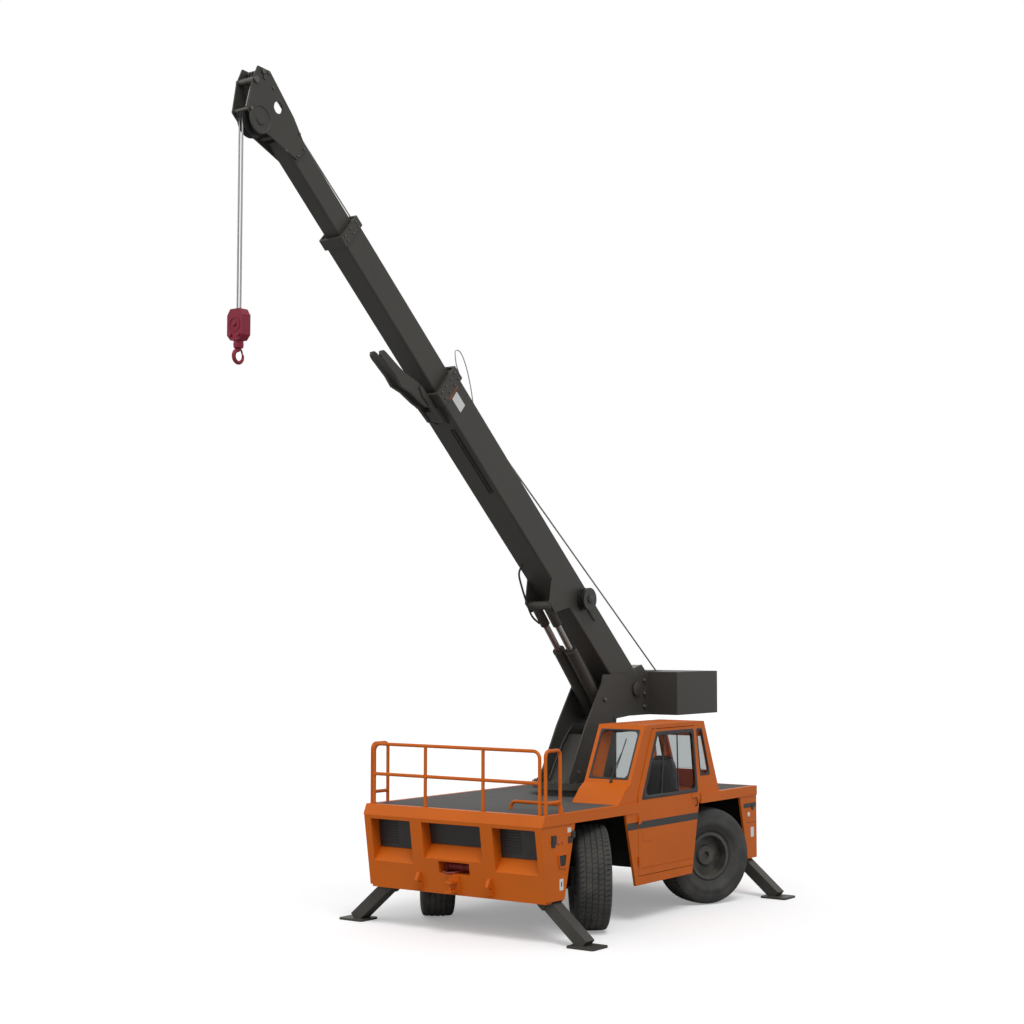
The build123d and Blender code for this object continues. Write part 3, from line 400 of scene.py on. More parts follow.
# Bolts: dull steel hex heads on washers, round the slewing bearing, at the feet of the front rails and on the
# mast's two sides. A round grey cap covers each end of the boom's pivot.
bolt_steel = finish_of("bolt_steel", (0.10, 0.095, 0.085), (0.12, 0.1, 0.08), 0.4, 30.0, (0.4, 0.7),
                       metallic=0.6)
HEX = np.array([(0, 0), (1.35, 0), (1.35, 0.2), (1.0, 0.2), (1.0, 0.85), (0.86, 1.0), (0, 1.0)])
ring = np.arange(24) * 2 * pi / 24
turned("slew_bolts", np.column_stack([back(2.45) + 0.515 * np.cos(ring), 0.515 * np.sin(ring),
                                      np.full(24, 1.4953)]),
       (0, 0, 1), HEX * (0.018, 0.018), bolt_steel, "superstructure", 6, False)
turned("rail_feet_bolts", [(back(0.033) - 0.035, y, DECK) for y in (-1.13, -0.4, 0.39, 1.13)], (0, 0, 1),
       HEX * (0.012, 0.012), bolt_steel, "carrier", 6, False)
for side, tag in ((1, "left"), (-1, "right")):
    spots = [(back(3.60), side * 0.2152, 2.66), (back(3.60), side * 0.2152, 2.50),
             (back(3.60), side * 0.2152, 2.34), (back(2.70), side * 0.2152, 2.45),
             (back(2.12), side * 0.2152, 1.62), (back(2.85), side * 0.2152, 1.62)]
    turned("mast_bolts_" + tag, spots, (0, side, 0), HEX * (0.026, 0.024), bolt_steel, "superstructure",
           6, False)
    turned("pivot_cap_" + tag, [(back(3.40), side * 0.235, 2.56)], (0, side, 0),
           [(0, 0), (0.085, 0), (0.085, 0.008), (0.078, 0.012), (0, 0.012)], grey_paint, "superstructure",
           32)

# Wheels: radial tyres with shallow ribbed blocks on steel rims, each rim held by ten nuts. The tyre's outer
# face is worked out as a radius over the turn angle and the place across the tread, and stands for the plain
# solid.
tyre_rubber = finish_of("tyre_rubber", (0.032, 0.032, 0.031), (0.13, 0.12, 0.10), 0.55, 5.0, (0.75, 0.95),
                        bump=0.25)
rim_paint = finish_of("rim_coat", (0.045, 0.043, 0.04), (0.14, 0.12, 0.095), 0.7, 6.0, (0.5, 0.85), bump=0.08)
SIDEWALL = [(0.2573, -0.1345), (0.295, -0.1345), (0.302, -0.150), (0.320, -0.166), (0.335, -0.171),
            (0.338, -0.1745), (0.365, -0.186), (0.368, -0.189), (0.395, -0.1965), (0.425, -0.1985),
            (0.428, -0.1965), (0.470, -0.195), (0.500, -0.189), (0.505, -0.187), (0.525, -0.183),
            (0.540, -0.176), (0.553, -0.168)]
TREAD_R, TREAD_W, BLOCKS = 0.5735, 0.162, 64


def tread_depth(turn, across):
    """Depth cut into the tread: four straight grooves, and slanted cuts that step from rib to rib."""
    rib = np.floor((across + 0.165) / 0.066)
    groove = np.abs((across + 0.165) % 0.066 - 0.033) > 0.0285
    wave = (turn * BLOCKS / (2 * pi) + rib * 0.5 + across * 5.0) % 1.0
    cut = wave < 0.16
    outer = np.abs(across) > 0.128
    return np.where(groove & (np.abs(across) < 0.14), 0.011,
                    np.where(cut, np.where(outer, 0.012, 0.007), 0.0))


for joint in frame["joints"]:
    if not joint["name"].startswith("roll_"):
        continue
    corner = joint["name"][5:]
    centre, axle = np.array(joint["pos_m"]), np.array(joint["axis"])
    outward = axle * (1 if corner[1] == "l" else -1)
    wheel = body = "wheel_" + corner
    first, second, _ = axes_of(outward)
    turn = np.arange(448) * 2 * pi / 448
    across = np.linspace(-TREAD_W, TREAD_W, 41)
    crown = TREAD_R - 0.0075 * (across / TREAD_W) ** 2 - 0.006 * (across / TREAD_W) ** 8
    side_r, side_w = np.array(SIDEWALL).T
    rows_w = np.concatenate([side_w, across, -side_w[::-1]])
    radius = np.concatenate([side_r, crown, side_r[::-1]])[:, None] * np.ones(len(turn))
    tread = slice(len(side_r), len(side_r) + len(across))
    radius[tread] -= tread_depth(turn[None, :], across[:, None])
    ring = np.cos(turn)[:, None] * first + np.sin(turn)[:, None] * second
    points = centre + radius[:, :, None] * ring[None] + rows_w[:, None, None] * outward
    points = np.concatenate([points, points[:1]])
    tyre = surface(wheel + "_tyre", points, grid_faces(len(points), len(turn)), tyre_rubber, body)
    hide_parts("tyre_" + corner)
    dress(rim_paint, "rim_" + corner)
    nut_turn = np.arange(10) * 2 * pi / 10
    nut_ring = np.cos(nut_turn)[:, None] * first + np.sin(nut_turn)[:, None] * second
    turned(wheel + "_nuts", centre + 0.168 * nut_ring - 0.0172 * outward, outward, HEX * (0.015, 0.022),
           bolt_steel, body, 6, False)
    turned(wheel + "_hub_bolts", centre + 0.060 * nut_ring[::2] + 0.046 * outward, outward,
           HEX * (0.008, 0.008), bolt_steel, body, 6, False)
    turned(wheel + "_lock_ring", [centre], outward,
           [(0.262, 0.137), (0.274, 0.137), (0.276, 0.143), (0.270, 0.149), (0.262, 0.149), (0.258, 0.143),
            (0.262, 0.137)], rim_paint, body, 64)

# Cab windows: pale clear glass in black rubber, with a sliding pane's two bars in the door and a wiper on the
# screen.
glass = bpy.data.materials.new("window_glass")
glass.use_nodes = True
shader = glass.node_tree.nodes["Principled BSDF"]
shader.inputs["Base Color"].default_value = (0.94, 0.97, 0.97, 1)
shader.inputs["Roughness"].default_value = 0.03
shader.inputs["Transmission Weight"].default_value = 1.0
shader.inputs["IOR"].default_value = 1.12
dress(glass, "cab_glass", "door_glass")
rubber = finish_of("window_rubber", (0.018, 0.018, 0.018), (0.08, 0.075, 0.07), 0.3, 12.0, (0.55, 0.8))


def gasket(name, corners, y_in, y_out, outer, inner, body, place=on_side):
    """Rubber frame round an opening: rounded outlines outside and inside it, with eased outer faces."""
    bevel = 0.004 * np.sign(y_out - y_in)
    loops = [place(rounded(corners, 0.02, -outer), y_in),
             place(rounded(corners, 0.02, -outer), y_out - bevel),
             place(rounded(corners, 0.022, -outer + 0.004), y_out),
             place(rounded(corners, 0.06, inner - 0.004), y_out),
             place(rounded(corners, 0.062, inner), y_out - bevel),
             place(rounded(corners, 0.062, inner), y_in)]
    return lofted(name, loops, rubber, body, closed_ends=False, smooth=True)


door_window = [(back(1.945), 1.385), (back(2.255), 2.105), (back(3.075), 2.105), (back(3.170), 1.385)]
quarter = [(back(3.180), 2.110), (back(3.300), 2.110), (back(3.490), 1.560), (back(3.270), 1.560)]
gasket("door_gasket_outside", door_window, 1.205, 1.2155, 0.016, 0.028, "cab_door")
gasket("door_gasket_inside", door_window, 1.180, 1.1715, 0.010, 0.020, "cab_door")
gasket("quarter_gasket", quarter, 1.190, 1.2045, 0.008, 0.012, "carrier")
gasket("quarter_gasket_right", quarter, 0.590, 0.5755, 0.008, 0.012, "carrier")
gasket("side_gasket_right", door_window, 0.590, 0.5755, 0.010, 0.022, "carrier")
for x_low, x_high, tag in ((2.36, 2.44, "front"), (2.74, 2.72, "rear")):
    x0, x1 = back(x_low), back(x_high)
    bar = [np.array([(x0 + dx, 1.20 + dy, 1.39) for dx,
                     dy in ((-0.009, 0), (0.009, 0), (0.009, 0.008), (-0.009, 0.008))]),
           np.array([(x1 + dx, 1.20 + dy, 2.10) for dx,
                     dy in ((-0.009, 0), (0.009, 0), (0.009, 0.008), (-0.009, 0.008))])]
    lofted("pane_bar_" + tag, bar, rubber, "cab_door")
slope = atan2(2.200 - 1.560, 0.320)
screen_across, screen_up = np.array([0, 1.0, 0]), np.array([-cos(slope), 0, sin(slope)])
screen_out = np.array([sin(slope), 0, cos(slope)])
screen_length = hypot(0.320, 0.640)
screen_foot = np.array([back(1.700), 0.89, 1.560])


def on_screen(outline, lift):
    """Outline across and up the sloped windscreen, placed at a height over its face."""
    flat = np.asarray(outline)
    return screen_foot + flat[:, :1] * screen_across + flat[:, 1:] * screen_up + lift * screen_out


half_w, low, high = 0.255, 0.055, screen_length - 0.065
screen_corners = [(-half_w, low), (half_w, low), (half_w, high), (-half_w, high)]
gasket("screen_gasket", screen_corners, -0.010, 0.005, 0.010, 0.012, "carrier", on_screen)


def run_tube(name, points, radius, material, body, sides=12, steps=10):
    """Round tube along a smooth line through points: each span is a cubic with its tangents from the
    neighbours."""
    p = np.asarray(points, float)
    tangents = np.gradient(p, axis=0)
    t = np.linspace(0, 1, steps, endpoint=False)[None, :, None]
    a, b, ta, tb = p[:-1, None], p[1:, None], tangents[:-1, None], tangents[1:, None]
    curve = ((2 * t**3 - 3 * t**2 + 1) * a + (t**3 - 2 * t**2 + t) * ta + (-2 * t**3 + 3 * t**2) * b
             + (t**3 - t**2) * tb).reshape(-1, 3)
    curve = np.concatenate([curve, p[-1:]])
    along = np.gradient(curve, axis=0)
    along /= np.linalg.norm(along, axis=1)[:, None]
    guide = np.cross(p[-1] - p[0], p[len(p) // 2] - p[0])
    guide = guide if np.linalg.norm(guide) > 1e-6 else axes_of(p[-1] - p[0])[0]
    first = np.cross(along, guide)
    first /= np.linalg.norm(first, axis=1)[:, None]
    second = np.cross(along, first)
    angle = np.arange(sides) * 2 * pi / sides
    rings = curve[:, None] + radius * (np.cos(angle)[None, :, None] * first[:, None]
                                       + np.sin(angle)[None, :, None] * second[:, None])
    return lofted(name, list(rings), material, body, smooth=True)


run_tube("wiper_arm", on_screen([(0.05, 0.02), (0.07, 0.20), (0.10, 0.36)], 0.016), 0.006, black_paint,
         "carrier")
run_tube("wiper_blade", on_screen([(0.085, 0.18), (0.10, 0.36), (0.115, 0.54)], 0.010), 0.006, rubber,
         "carrier")
turned("wiper_spindle", on_screen([(0.05, 0.02)], 0.0), screen_out,
       [(0, 0), (0.018, 0), (0.016, 0.02), (0, 0.024)], black_paint, "carrier", 16)

# Cab inside: a black vinyl seat with arms on a plastic pedestal, a plastic dash and wheel,
# and one lever with a round knob. A short black pull handle is fixed to the outside of the door.
cab_plastic = finish_of("cab_plastic", (0.035, 0.035, 0.036), (0.1, 0.095, 0.09), 0.25, 9.0, (0.55, 0.8),
                        bump=0.15)
vinyl = finish_of("seat_vinyl", (0.03, 0.03, 0.031), (0.09, 0.08, 0.075), 0.25, 7.0, (0.45, 0.7), bump=0.35)
dress(cab_plastic, "cab_controls")


def cushion(name, centre, half_sizes, lean, body):
    """Crowned pad: a superellipsoid over two angles, its middle raised and two sewn channels pressed in,
    then leaned."""
    u = np.linspace(-pi / 2, pi / 2, 33)[:, None]
    v = np.arange(64)[None, :] * 2 * pi / 64
    power = lambda value, e: np.sign(value) * np.abs(value) ** e
    x = power(np.cos(u), 0.35) * power(np.cos(v), 0.3)
    y = power(np.cos(u), 0.35) * power(np.sin(v), 0.3)
    z = power(np.sin(u), 0.6) * np.ones_like(v)
    crown = 0.78 + 0.22 * (1 - x**2) * (1 - y**2)
    channel = 1 - 0.06 * np.exp(-((np.abs(y) - 0.55) / 0.05) ** 2)
    local = np.stack([x * half_sizes[0], y * half_sizes[1], z * crown * channel * half_sizes[2]], -1)
    turn = np.array([[cos(lean), 0, sin(lean)], [0, 1, 0], [-sin(lean), 0, cos(lean)]])
    pad = surface(name, local @ turn.T + np.array(centre), grid_faces(33, 64), vinyl, body)
    return pad


base = cushion("seat_cushion", (back(2.625), 0.89, 1.12), (0.235, 0.225, 0.062), 0, "carrier")
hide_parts("seat")
cushion("seat_back", (back(2.885), 0.89, 1.475), (0.30, 0.215, 0.055), radians(-79), "carrier")
cushion("seat_headrest", (back(2.945), 0.89, 1.735), (0.06, 0.12, 0.04), radians(-79), "carrier")
pedestal = [np.array([(back(x), y, z) for x, y in ((2.50, 0.72), (2.84, 0.72), (2.84, 1.06), (2.50, 1.06))])
            for z in (0.656, 1.065)]
lofted("seat_pedestal", pedestal, cab_plastic, "carrier")
for y, tag in ((0.66, "right"), (1.12, "left")):
    run_tube("seat_arm_" + tag, [(back(2.87), y, 1.30), (back(2.72), y, 1.335), (back(2.58), y, 1.33)], 0.022,
             vinyl, "carrier")
run_tube("lever_left", [(back(2.10), 1.02, 1.36), (back(2.12), 1.02, 1.46), (back(2.13), 1.02, 1.55)], 0.007,
         cab_plastic, "carrier")
turned("lever_knob", [(back(2.13), 1.02, 1.545)], (0, 0, 1),
       [(0, 0), (0.014, 0.004), (0.021, 0.018), (0.018, 0.034), (0, 0.04)], cab_plastic, "carrier",
       16)
run_tube("door_grab", [(back(3.13), 1.2105, 1.21), (back(3.13), 1.235, 1.23), (back(3.13), 1.235, 1.29),
                       (back(3.13), 1.2105, 1.31)], 0.007, black_paint, "cab_door")

# Boom: three nested box sections of welded plate. On them are the collars' bolts, a blank plate with an
# orange tag beside it, two round covers on the left face, the cable reel's hub and bracket, two hoses, and
# the thin signal wire that loops at the mouth.
LUFF = radians(42)
ALONG, SQUARE = np.array([cos(LUFF), 0, sin(LUFF)]), np.array([-sin(LUFF), 0, cos(LUFF)])
PIVOT = np.array([back(3.400), 0, 2.560])


def boom_points(rows):
    """Points from rows of distance along the boom, height over its centre line, and Y."""
    rows = np.asarray(rows, float)
    return PIVOT + rows[:, :1] * ALONG + rows[:, 1:2] * SQUARE + rows[:, 2:] * (0, 1.0, 0)


def on_boom(outline, y):
    """Outline in distance along and height over the boom placed at a Y."""
    return boom_points(np.column_stack([outline, np.full(len(outline), y)]))


def boom_plate(name, s0, s1, n0, n1, y, thickness, material, body, radius=0.008):
    """Flat plate on a side of the boom with rounded corners and an eased edge."""
    corners = [(s0, n0), (s1, n0), (s1, n1), (s0, n1)]
    ease = abs(thickness) / 3
    step = np.sign(thickness) * ease
    loops = [on_boom(rounded(corners, radius), y), on_boom(rounded(corners, radius), y + thickness - step),
             on_boom(rounded(corners, radius, ease), y + thickness)]
    return lofted(name, loops, material, body)


boom_plate("boom_blank_plate", 4.66, 4.86, -0.06, 0.06, 0.1803, 0.0015, white_plate, "boom_base")
boom_plate("boom_orange_tag", 4.88, 4.905, -0.10, 0.12, 0.1803, 0.002, orange_paint, "boom_base",
           0.004)
for s, n, y, body, tag in ((7.98, 0.03, 0.095, "boom_tip", "tip"), (6.57, 0.0, 0.130, "boom_mid", "mid")):
    turned("boom_cover_" + tag, boom_points([(s, n, y)]), (0, 1, 0),
           [(0, 0.0003), (0.060, 0.0003), (0.064, 0.0)], under_paint, body, 32)
collar_bolts = [(s, n, 0.2022) for s in (4.95, 5.04) for n in (-0.16, -0.06, 0.06, 0.16)]
turned("base_collar_bolts", boom_points(collar_bolts), (0, 1, 0), HEX * (0.012, 0.012), bolt_steel,
       "boom_base", 6, False)
collar_bolts = [(s, n, 0.1482) for s in (7.06, 7.12) for n in (-0.12, 0, 0.12)]
turned("mid_collar_bolts", boom_points(collar_bolts), (0, 1, 0), HEX * (0.010, 0.010), bolt_steel, "boom_mid",
       6, False)
turned("reel_hub", boom_points([(1.56, 0.06, 0.29)]), (0, 1, 0),
       [(0, 0), (0.05, 0), (0.05, 0.012), (0.03, 0.018), (0, 0.02)], grey_paint, "boom_base",
       24)
boom_plate("reel_bracket", 1.20, 1.50, 0.03, 0.09, 0.1803, 0.014, grey_paint, "boom_base")
light_wire = finish_of("light_wire", (0.42, 0.42, 0.40), (0.2, 0.18, 0.16), 0.2, 20.0, (0.4, 0.6))
run_tube("signal_wire", boom_points([(4.55, 0.214, 0.15), (4.70, 0.30, 0.16), (4.92, 0.40, 0.17),
                                     (5.10, 0.43, 0.18), (5.18, 0.36, 0.19), (5.08, 0.27, 0.19),
                                     (4.96, 0.238, 0.18)]), 0.006,
         light_wire, "boom_base")
run_tube("boom_hose_under", boom_points([(3.6, -0.222, 0.10), (4.0, -0.222, 0.10), (4.55, -0.222, 0.10)]),
         0.011, rubber, "boom_base")
run_tube("boom_hose_beside", boom_points([(3.6, -0.222, 0.07), (4.0, -0.222, 0.07), (4.55, -0.222, 0.07)]),
         0.011, rubber, "boom_base")

# Hoist rope: galvanised wire rope whose lay shows as a fine diagonal relief. It rises taut from a slot plate
# on the counterweight to the roller at the boom's mouth, and the middle and tip sections carry their own
# lengths beside it.
rope_steel = finish_of("wire_rope", (0.33, 0.33, 0.32), (0.10, 0.085, 0.07), 0.5, 20.0, (0.4, 0.65),
                       bump=0.05, metallic=0.7)
tree = rope_steel.node_tree
lay = tree.nodes.new("ShaderNodeTexWave")
lay.bands_direction = "DIAGONAL"
lay.inputs["Scale"].default_value = 30.0
tree.links.new(tree.nodes.new("ShaderNodeTexCoord").outputs["Object"], lay.inputs["Vector"])
lay_relief = tree.nodes.new("ShaderNodeBump")
lay_relief.inputs["Strength"].default_value = 0.5
lay_relief.inputs["Distance"].default_value = 0.003
tree.links.new(lay.outputs["Fac"], lay_relief.inputs["Height"])
tree.links.new(lay_relief.outputs[0], tree.nodes["Principled BSDF"].inputs["Normal"])
falls_low, falls_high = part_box("hoist_falls")
hang_x, rope_radius = (falls_low.x + falls_high.x) / 2, (falls_high.x - falls_low.x) / 2
drop = falls_high.z - falls_low.z
# The two falls hang from the head to the block, and each has a ring at both ends and none between.
falls = turned("hoist_fall_ropes", [(hang_x, y, falls_low.z) for y in (falls_low.y + rope_radius,
                                                                       falls_high.y - rope_radius)],
               (0, 0, 1), [(0, 0), (rope_radius, 0), (rope_radius, drop), (0, drop)], rope_steel,
               "hoist_line", 16)
falls.parent = None
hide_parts("hoist_falls")
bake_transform(falls)
winch_red = finish_of("winch_red", (0.20, 0.018, 0.015), (0.10, 0.07, 0.06), 0.4, 12.0, (0.45, 0.75),
                      bump=0.1)
dress(winch_red, "front_winch")
dress(grey_paint, "hoist_winch")
rope_slot, rope_guide = boom_points([(-0.508, 0.732, -0.012), (4.95, 0.2605, -0.012)])
rope_way = rope_guide - rope_slot
rope_run = np.linalg.norm(rope_way)
# It is taut from the counterweight to the boom's guide, so it has one ring at each end and nothing between to
# bend.
main_rope = turned("hoist_rope_base", [rope_slot], rope_way,
                   [(0, 0), (0.010, 0), (0.010, rope_run), (0, rope_run)], rope_steel, "superstructure",
                   10)
main_rope.parent = None
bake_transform(main_rope)
corners = [(rope_slot[0] - 0.10, -0.05), (rope_slot[0] + 0.10, -0.05), (rope_slot[0] + 0.10, 0.03),
           (rope_slot[0] - 0.10, 0.03)]
lofted("rope_slot_plate", [np.column_stack([rounded(corners, 0.02, inset), np.full(28, z)])
                           for inset, z in ((0, 2.7681), (0, 2.772), (0.003, 2.774))], black_paint,
       "superstructure")
run_tube("hoist_rope_mid", boom_points([(2.4, 0.2605, 0.004), (4.8, 0.2605, 0.004), (7.1, 0.2605, 0.004)]),
         0.007, rope_steel, "boom_mid", 8, 4)
run_tube("hoist_rope_tip", boom_points([(5.1, 0.2605, 0.020), (6.4, 0.237, 0.020), (7.6, 0.211, 0.020),
                                        (8.60, 0.187, 0.020), (8.86, 0.177, 0.020), (8.904, 0.156, 0.020),
                                        (8.917, 0.12, 0.020), (8.888, 0.02, 0.020), (8.80, -0.16, 0.020),
                                        (8.759, -0.24, 0.020), (8.7235, -0.333, 0.020)]), 0.007, rope_steel,
         "boom_tip", 8, 6)
turned("guide_roller", boom_points([(4.95, 0.2375, -0.04)]), (0, 1, 0),
       [(0, 0), (0.016, 0), (0.016, 0.09), (0, 0.09)], bolt_steel, "boom_base", 20)
for y, tag in ((-0.05, "right"), (0.05, "left")):
    boom_plate("guide_cheek_" + tag, 4.91, 4.99, 0.231, 0.285, y, 0.006, grey_paint, "boom_base")
wraps = np.arange(12) * 0.0185 - 0.102
turned("drum_rope", boom_points([(-0.06, 0.33, y) for y in wraps]), (0, 1, 0),
       [(0.079, -0.0092), (0.086, -0.007), (0.0885, 0), (0.086, 0.007), (0.079, 0.0092), (0.079, -0.0092)],
       rope_steel, "boom_base", 40)
turned("front_drum_rope", [(back(0.180), y, 0.717) for y in np.arange(15) * 0.0205 - 0.1435], (0, 1, 0),
       [(0.041, -0.0102), (0.048, -0.007), (0.051, 0), (0.048, 0.007), (0.041, 0.0102), (0.041, -0.0102)],
       winch_red, "carrier", 32)
run_tube("front_winch_line", [(back(0.15), 0.03, 0.675), (back(0.08), 0.0, 0.668), (back(0.02), -0.06, 0.662),
                              (back(-0.01), -0.12, 0.672)], 0.012, winch_red, "carrier")

# Head: cast sheaves between two cheeks, with a round cover plate on the left one. Three cross pins tie the
# cheeks, and small hex bolts fix them to the tip section.
sheave_iron = finish_of("sheave_iron", (0.04, 0.04, 0.04), (0.12, 0.1, 0.08), 0.4, 8.0, (0.4, 0.7), bump=0.1,
                        metallic=0.3)
dress(sheave_iron, "head_sheaves")
turned("sheave_cover", boom_points([(8.62, -0.24, 0.1192)]), (0, 1, 0),
       [(0, 0.012), (0.05, 0.012), (0.056, 0.002), (0.12, 0.0022), (0.128, 0.009), (0.138, 0.008),
        (0.142, -0.008), (0, -0.008)], grey_paint, "boom_tip", 48)
for s, n, radius, tag in ((8.915, 0.0, 0.032, "nose"), (8.915, 0.140, 0.024, "top"),
                          (8.765, -0.262, 0.020, "low")):
    turned("head_roller_" + tag, boom_points([(s, n, -0.128)]), (0, 1, 0),
           [(0, 0), (radius, 0), (radius, 0.256), (0, 0.256)], bolt_steel, "boom_tip", 24)
head_bolts = [(8.06, 0.06, 0.1112), (8.06, -0.06, 0.1112), (8.20, 0.12, 0.1112), (8.20, -0.16, 0.1112),
              (8.86, 0.19, 0.1112), (8.72, 0.14, 0.1112)]
turned("head_bolts", boom_points(head_bolts), (0, 1, 0), HEX * (0.012, 0.012), bolt_steel, "boom_tip",
       6, False)

# Stow fork's two arms: flat painted bars with round ends, fixed to the fork under the boom's mouth. They
# reach forward below the middle section.
arm = np.array([(5.00, -0.335), (5.10, -0.262), (5.28, -0.262), (5.50, -0.355), (5.62, -0.385),
                (5.86, -0.430), (5.895, -0.443), (5.913, -0.475), (5.895, -0.505), (5.86, -0.515),
                (5.58, -0.490), (5.45, -0.500), (5.30, -0.430), (5.10, -0.375)])
for y, tag in ((0.045, "left"), (-0.080, "right")):
    lofted("stow_arm_" + tag, [on_boom(arm, y), on_boom(arm, y + 0.035)], grey_paint, "boom_base")

# Lift cylinders: chromed rods out of dark barrels, with a gland nut at each mouth and a cross sleeve at the
# rods' eye. Rubber hoses run beside them, under the boom and up the mast.
chrome = finish_of("chromed_rod", (0.36, 0.36, 0.36), (0.2, 0.18, 0.16), 0.12, 10.0, (0.30, 0.42), bump=0.0,
                   metallic=1.0)
dress(chrome, "lift_rods")
lift_low = np.array([back(2.920), 0, 2.220])
lift_high = boom_points([(1.950, -0.400, 0)])[0]
lift_way = (lift_high - lift_low) / np.linalg.norm(lift_high - lift_low)
turned("gland_nuts", [lift_low + lift_way * 1.095 + (0, y, 0) for y in (-0.085, 0.085)], lift_way,
       [(0.0388, 0.035), (0.072, 0.035), (0.0745, 0.032), (0.0745, 0.0), (0.0701, -0.004), (0.0388, 0.035)],
       grey_paint, "lift_barrel", 32)
lift_side = np.cross(lift_way, (0, 1.0, 0))
for y, tag in ((0.10, "left"), (-0.10, "right")):
    spots = [(0.10, 0.078), (0.35, 0.095), (0.75, 0.090), (1.02, 0.082), (1.06, 0.066)]
    run_tube("lift_hose_" + tag, [lift_low + lift_way * t + lift_side * d + (0, y, 0) for t, d in spots],
             0.012, rubber, "lift_barrel")
run_tube("boom_hose_loop", boom_points([(2.42, -0.215, -0.13), (2.38, -0.31, -0.135), (2.24, -0.38, -0.135),
                                        (2.06, -0.45, -0.13), (1.88, -0.50, -0.125), (1.72, -0.47, -0.12)]),
         0.012, rubber, "boom_base")
turned("rod_cross_sleeve", [tuple(lift_high - (0, 0.157, 0))], (0, 1, 0),
       [(0, 0), (0.0485, 0), (0.0515, 0.003), (0.0515, 0.311), (0.0485, 0.314), (0, 0.314)], grey_paint,
       "lift_rod", 32)
turned("rod_sleeves", [lift_high - lift_way * 0.30 + (0, y, 0) for y in (-0.085, 0.085)], lift_way,
       [(0.0382, 0), (0.054, 0), (0.056, 0.003), (0.056, 0.30), (0.0382, 0.30), (0.0382, 0)], grey_paint,
       "lift_rod", 32)
for y, tag in ((0.150, "left"), (-0.150, "right")):
    run_tube("mast_hose_" + tag, [(back(2.06), y, 1.53), (back(2.16), y, 1.70), (back(2.36), y, 1.97),
                                  (back(2.56), y, 2.14), (back(2.74), y, 2.18)], 0.013, rubber,
             "superstructure")

# Hook block and hook: cast cheeks round one sheave in maroon coat, a swivel nut, and a forged hook with its
# latch.
maroon = finish_of("hook_maroon", (0.26, 0.016, 0.040), (0.12, 0.07, 0.06), 0.35, 12.0, (0.4, 0.7), bump=0.12)
maroon.node_tree.nodes["Principled BSDF"].inputs["Specular IOR Level"].default_value = 0.25
dress(maroon, "hook_block")
block_top = falls_low.z - 0.0003
turned("block_cheek_pins", [(hang_x + 0.055, 0, block_top - 0.15), (hang_x + 0.055, 0.055, block_top - 0.25),
                            (hang_x + 0.055, -0.055, block_top - 0.25)], (1, 0, 0),
       HEX * (0.020, 0.018), maroon, "hook_set", 6, False)
turned("block_rim_front", [(hang_x + 0.055, 0, block_top - 0.15)], (1, 0, 0),
       [(0.060, 0), (0.070, 0), (0.070, 0.006), (0.060, 0.006), (0.060, 0)], maroon, "hook_set",
       40)
turned("block_rim_rear", [(hang_x - 0.055, 0, block_top - 0.15)], (-1, 0, 0),
       [(0.060, 0), (0.070, 0), (0.070, 0.006), (0.060, 0.006), (0.060, 0)], maroon, "hook_set",
       40)
turned("swivel_nut", [(hang_x, 0, block_top - 0.376)], (0, 0, 1),
       [(0, 0), (0.030, 0), (0.046, 0.008), (0.050, 0.040), (0.045, 0.0755), (0, 0.0758)], maroon, "hook_set",
       24)
ring_z = block_top - 0.300 - 0.150
sweep = np.linspace(radians(90), radians(-205), 49)
centre_line = np.column_stack([hang_x + 0.060 * np.cos(sweep), np.zeros(49), ring_z + 0.060 * np.sin(sweep)])
shank = np.column_stack([np.full(8, hang_x), np.zeros(8), np.linspace(block_top - 0.300, ring_z + 0.075, 8)])
line = np.concatenate([shank, centre_line])
thick = np.concatenate([np.linspace(0.024, 0.021, 8), 0.0215 - 0.011 * np.linspace(0, 1, 49) ** 3])
thick[-1] *= 0.4
along = np.gradient(line, axis=0)
along /= np.linalg.norm(along, axis=1)[:, None]
first = np.cross(along, (0, 1.0, 0))
angle = np.arange(20) * 2 * pi / 20
rings = line[:, None] + thick[:, None, None] * (np.cos(angle)[None, :, None] * first[:, None]
                                                + np.sin(angle)[None, :, None] * np.array([0, 0.86, 0]))
forged = lofted("forged_hook", list(rings), maroon, "hook_set", smooth=True)
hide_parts("hook")
run_tube("hook_latch", [(hang_x - 0.051, 0, ring_z + 0.026), (hang_x - 0.040, 0, ring_z + 0.056),
                        (hang_x - 0.012, 0, ring_z + 0.084)], 0.009, maroon, "hook_set")

# Studio: a white floor that keeps the crane's soft shadow, a pale surround, and two broad plain lamps. The
# lens sees the floor paler than the crane is lit by it, so the underside stays dark.
floor_mesh = bpy.data.meshes.new("floor")
floor_mesh.from_pydata([(-70, -70, 0), (70, -70, 0), (70, 70, 0), (-70, 70, 0)], [], [(0, 1, 2, 3)])
floor = bpy.data.objects.new("floor", floor_mesh)
bpy.context.scene.collection.objects.link(floor)
floor_white = bpy.data.materials.new("floor_white")
floor_white.use_nodes = True
tree = floor_white.node_tree
shader = tree.nodes["Principled BSDF"]
shader.inputs["Base Color"].default_value = (0.84, 0.84, 0.84, 1)
shader.inputs["Roughness"].default_value = 0.9
shader.inputs["Emission Color"].default_value = (1, 1, 1, 1)
rays = tree.nodes.new("ShaderNodeLightPath")
glow = math_node(tree, "MULTIPLY", rays.outputs["Is Camera Ray"], 0.26)
tree.links.new(glow, shader.inputs["Emission Strength"])
seen_by_lens = mix(tree, rays.outputs["Is Camera Ray"], (0.42, 0.42, 0.42), (0.86, 0.86, 0.86))
tree.links.new(seen_by_lens, shader.inputs["Base Color"])
floor_mesh.materials.append(floor_white)

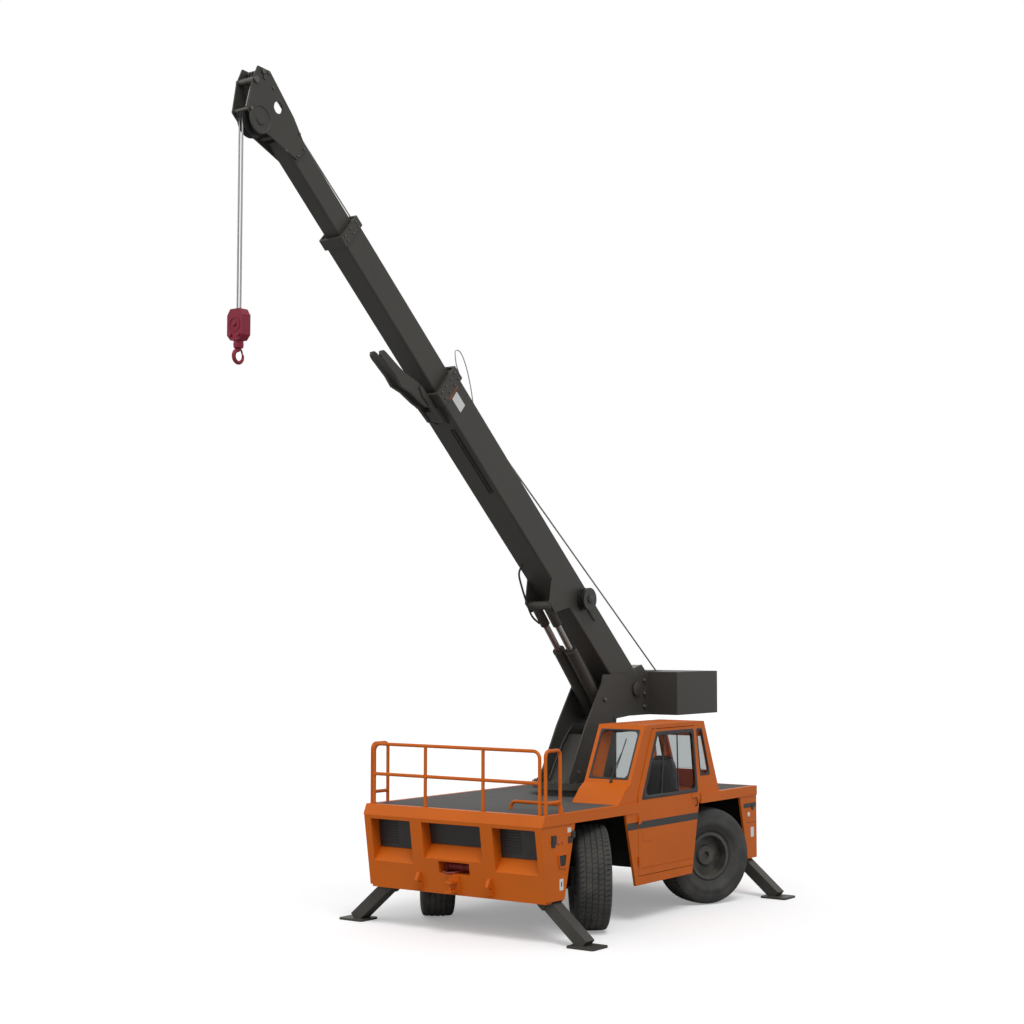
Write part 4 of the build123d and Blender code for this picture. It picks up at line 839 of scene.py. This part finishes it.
world = bpy.data.worlds.new("studio")
bpy.context.scene.world = world
world.use_nodes = True
tree = world.node_tree
surround = tree.nodes["Background"]
surround.inputs["Color"].default_value = (0.97, 0.985, 1.0, 1)
surround.inputs["Strength"].default_value = 0.52
white = tree.nodes.new("ShaderNodeBackground")
white.inputs["Color"].default_value = (1, 1, 1, 1)
white.inputs["Strength"].default_value = 1.0
rays = tree.nodes.new("ShaderNodeLightPath")
seen = math_node(tree, "MAXIMUM", rays.outputs["Is Camera Ray"],
                 math_node(tree, "MAXIMUM", rays.outputs["Is Glossy Ray"],
                           rays.outputs["Is Transmission Ray"]))
choice = tree.nodes.new("ShaderNodeMixShader")
tree.links.new(seen, choice.inputs[0])
tree.links.new(surround.outputs[0], choice.inputs[1])
tree.links.new(white.outputs[0], choice.inputs[2])
tree.links.new(choice.outputs[0], tree.nodes["World Output"].inputs["Surface"])


def sun(name, towards, strength, spread):
    """Broad distant lamp that shines along a direction."""
    lamp = bpy.data.lights.new(name, "SUN")
    lamp.energy = strength
    lamp.angle = radians(spread)
    holder = bpy.data.objects.new(name, lamp)
    holder.rotation_euler = Vector(towards).to_track_quat("-Z", "Y").to_euler()
    bpy.context.scene.collection.objects.link(holder)


sun("key_lamp", (-0.45, -0.55, -1.0), 1.35, 25)
sun("fill_lamp", (-0.9, 0.3, -0.5), 0.45, 60)

# Camera: at the photograph's place and lens, a little over three metres up and looking slightly upwards at
# the boom.
camera = bpy.data.cameras.new("camera")
camera.lens = 61.1
camera.sensor_width = 36
camera.shift_y = -0.0065
camera.clip_end = 300
viewer = bpy.data.objects.new("camera", camera)
turn, pitch = radians(35.96), radians(4.28)
viewer.location = (FRONT + 14.96, 11.65, 3.22)
viewer.rotation_euler = Vector((-cos(turn) * cos(pitch), -sin(turn) * cos(pitch),
                                sin(pitch))).to_track_quat("-Z", "Y").to_euler()
bpy.context.scene.collection.objects.link(viewer)
bpy.context.scene.camera = viewer
bpy.context.scene.view_settings.view_transform = "Standard"
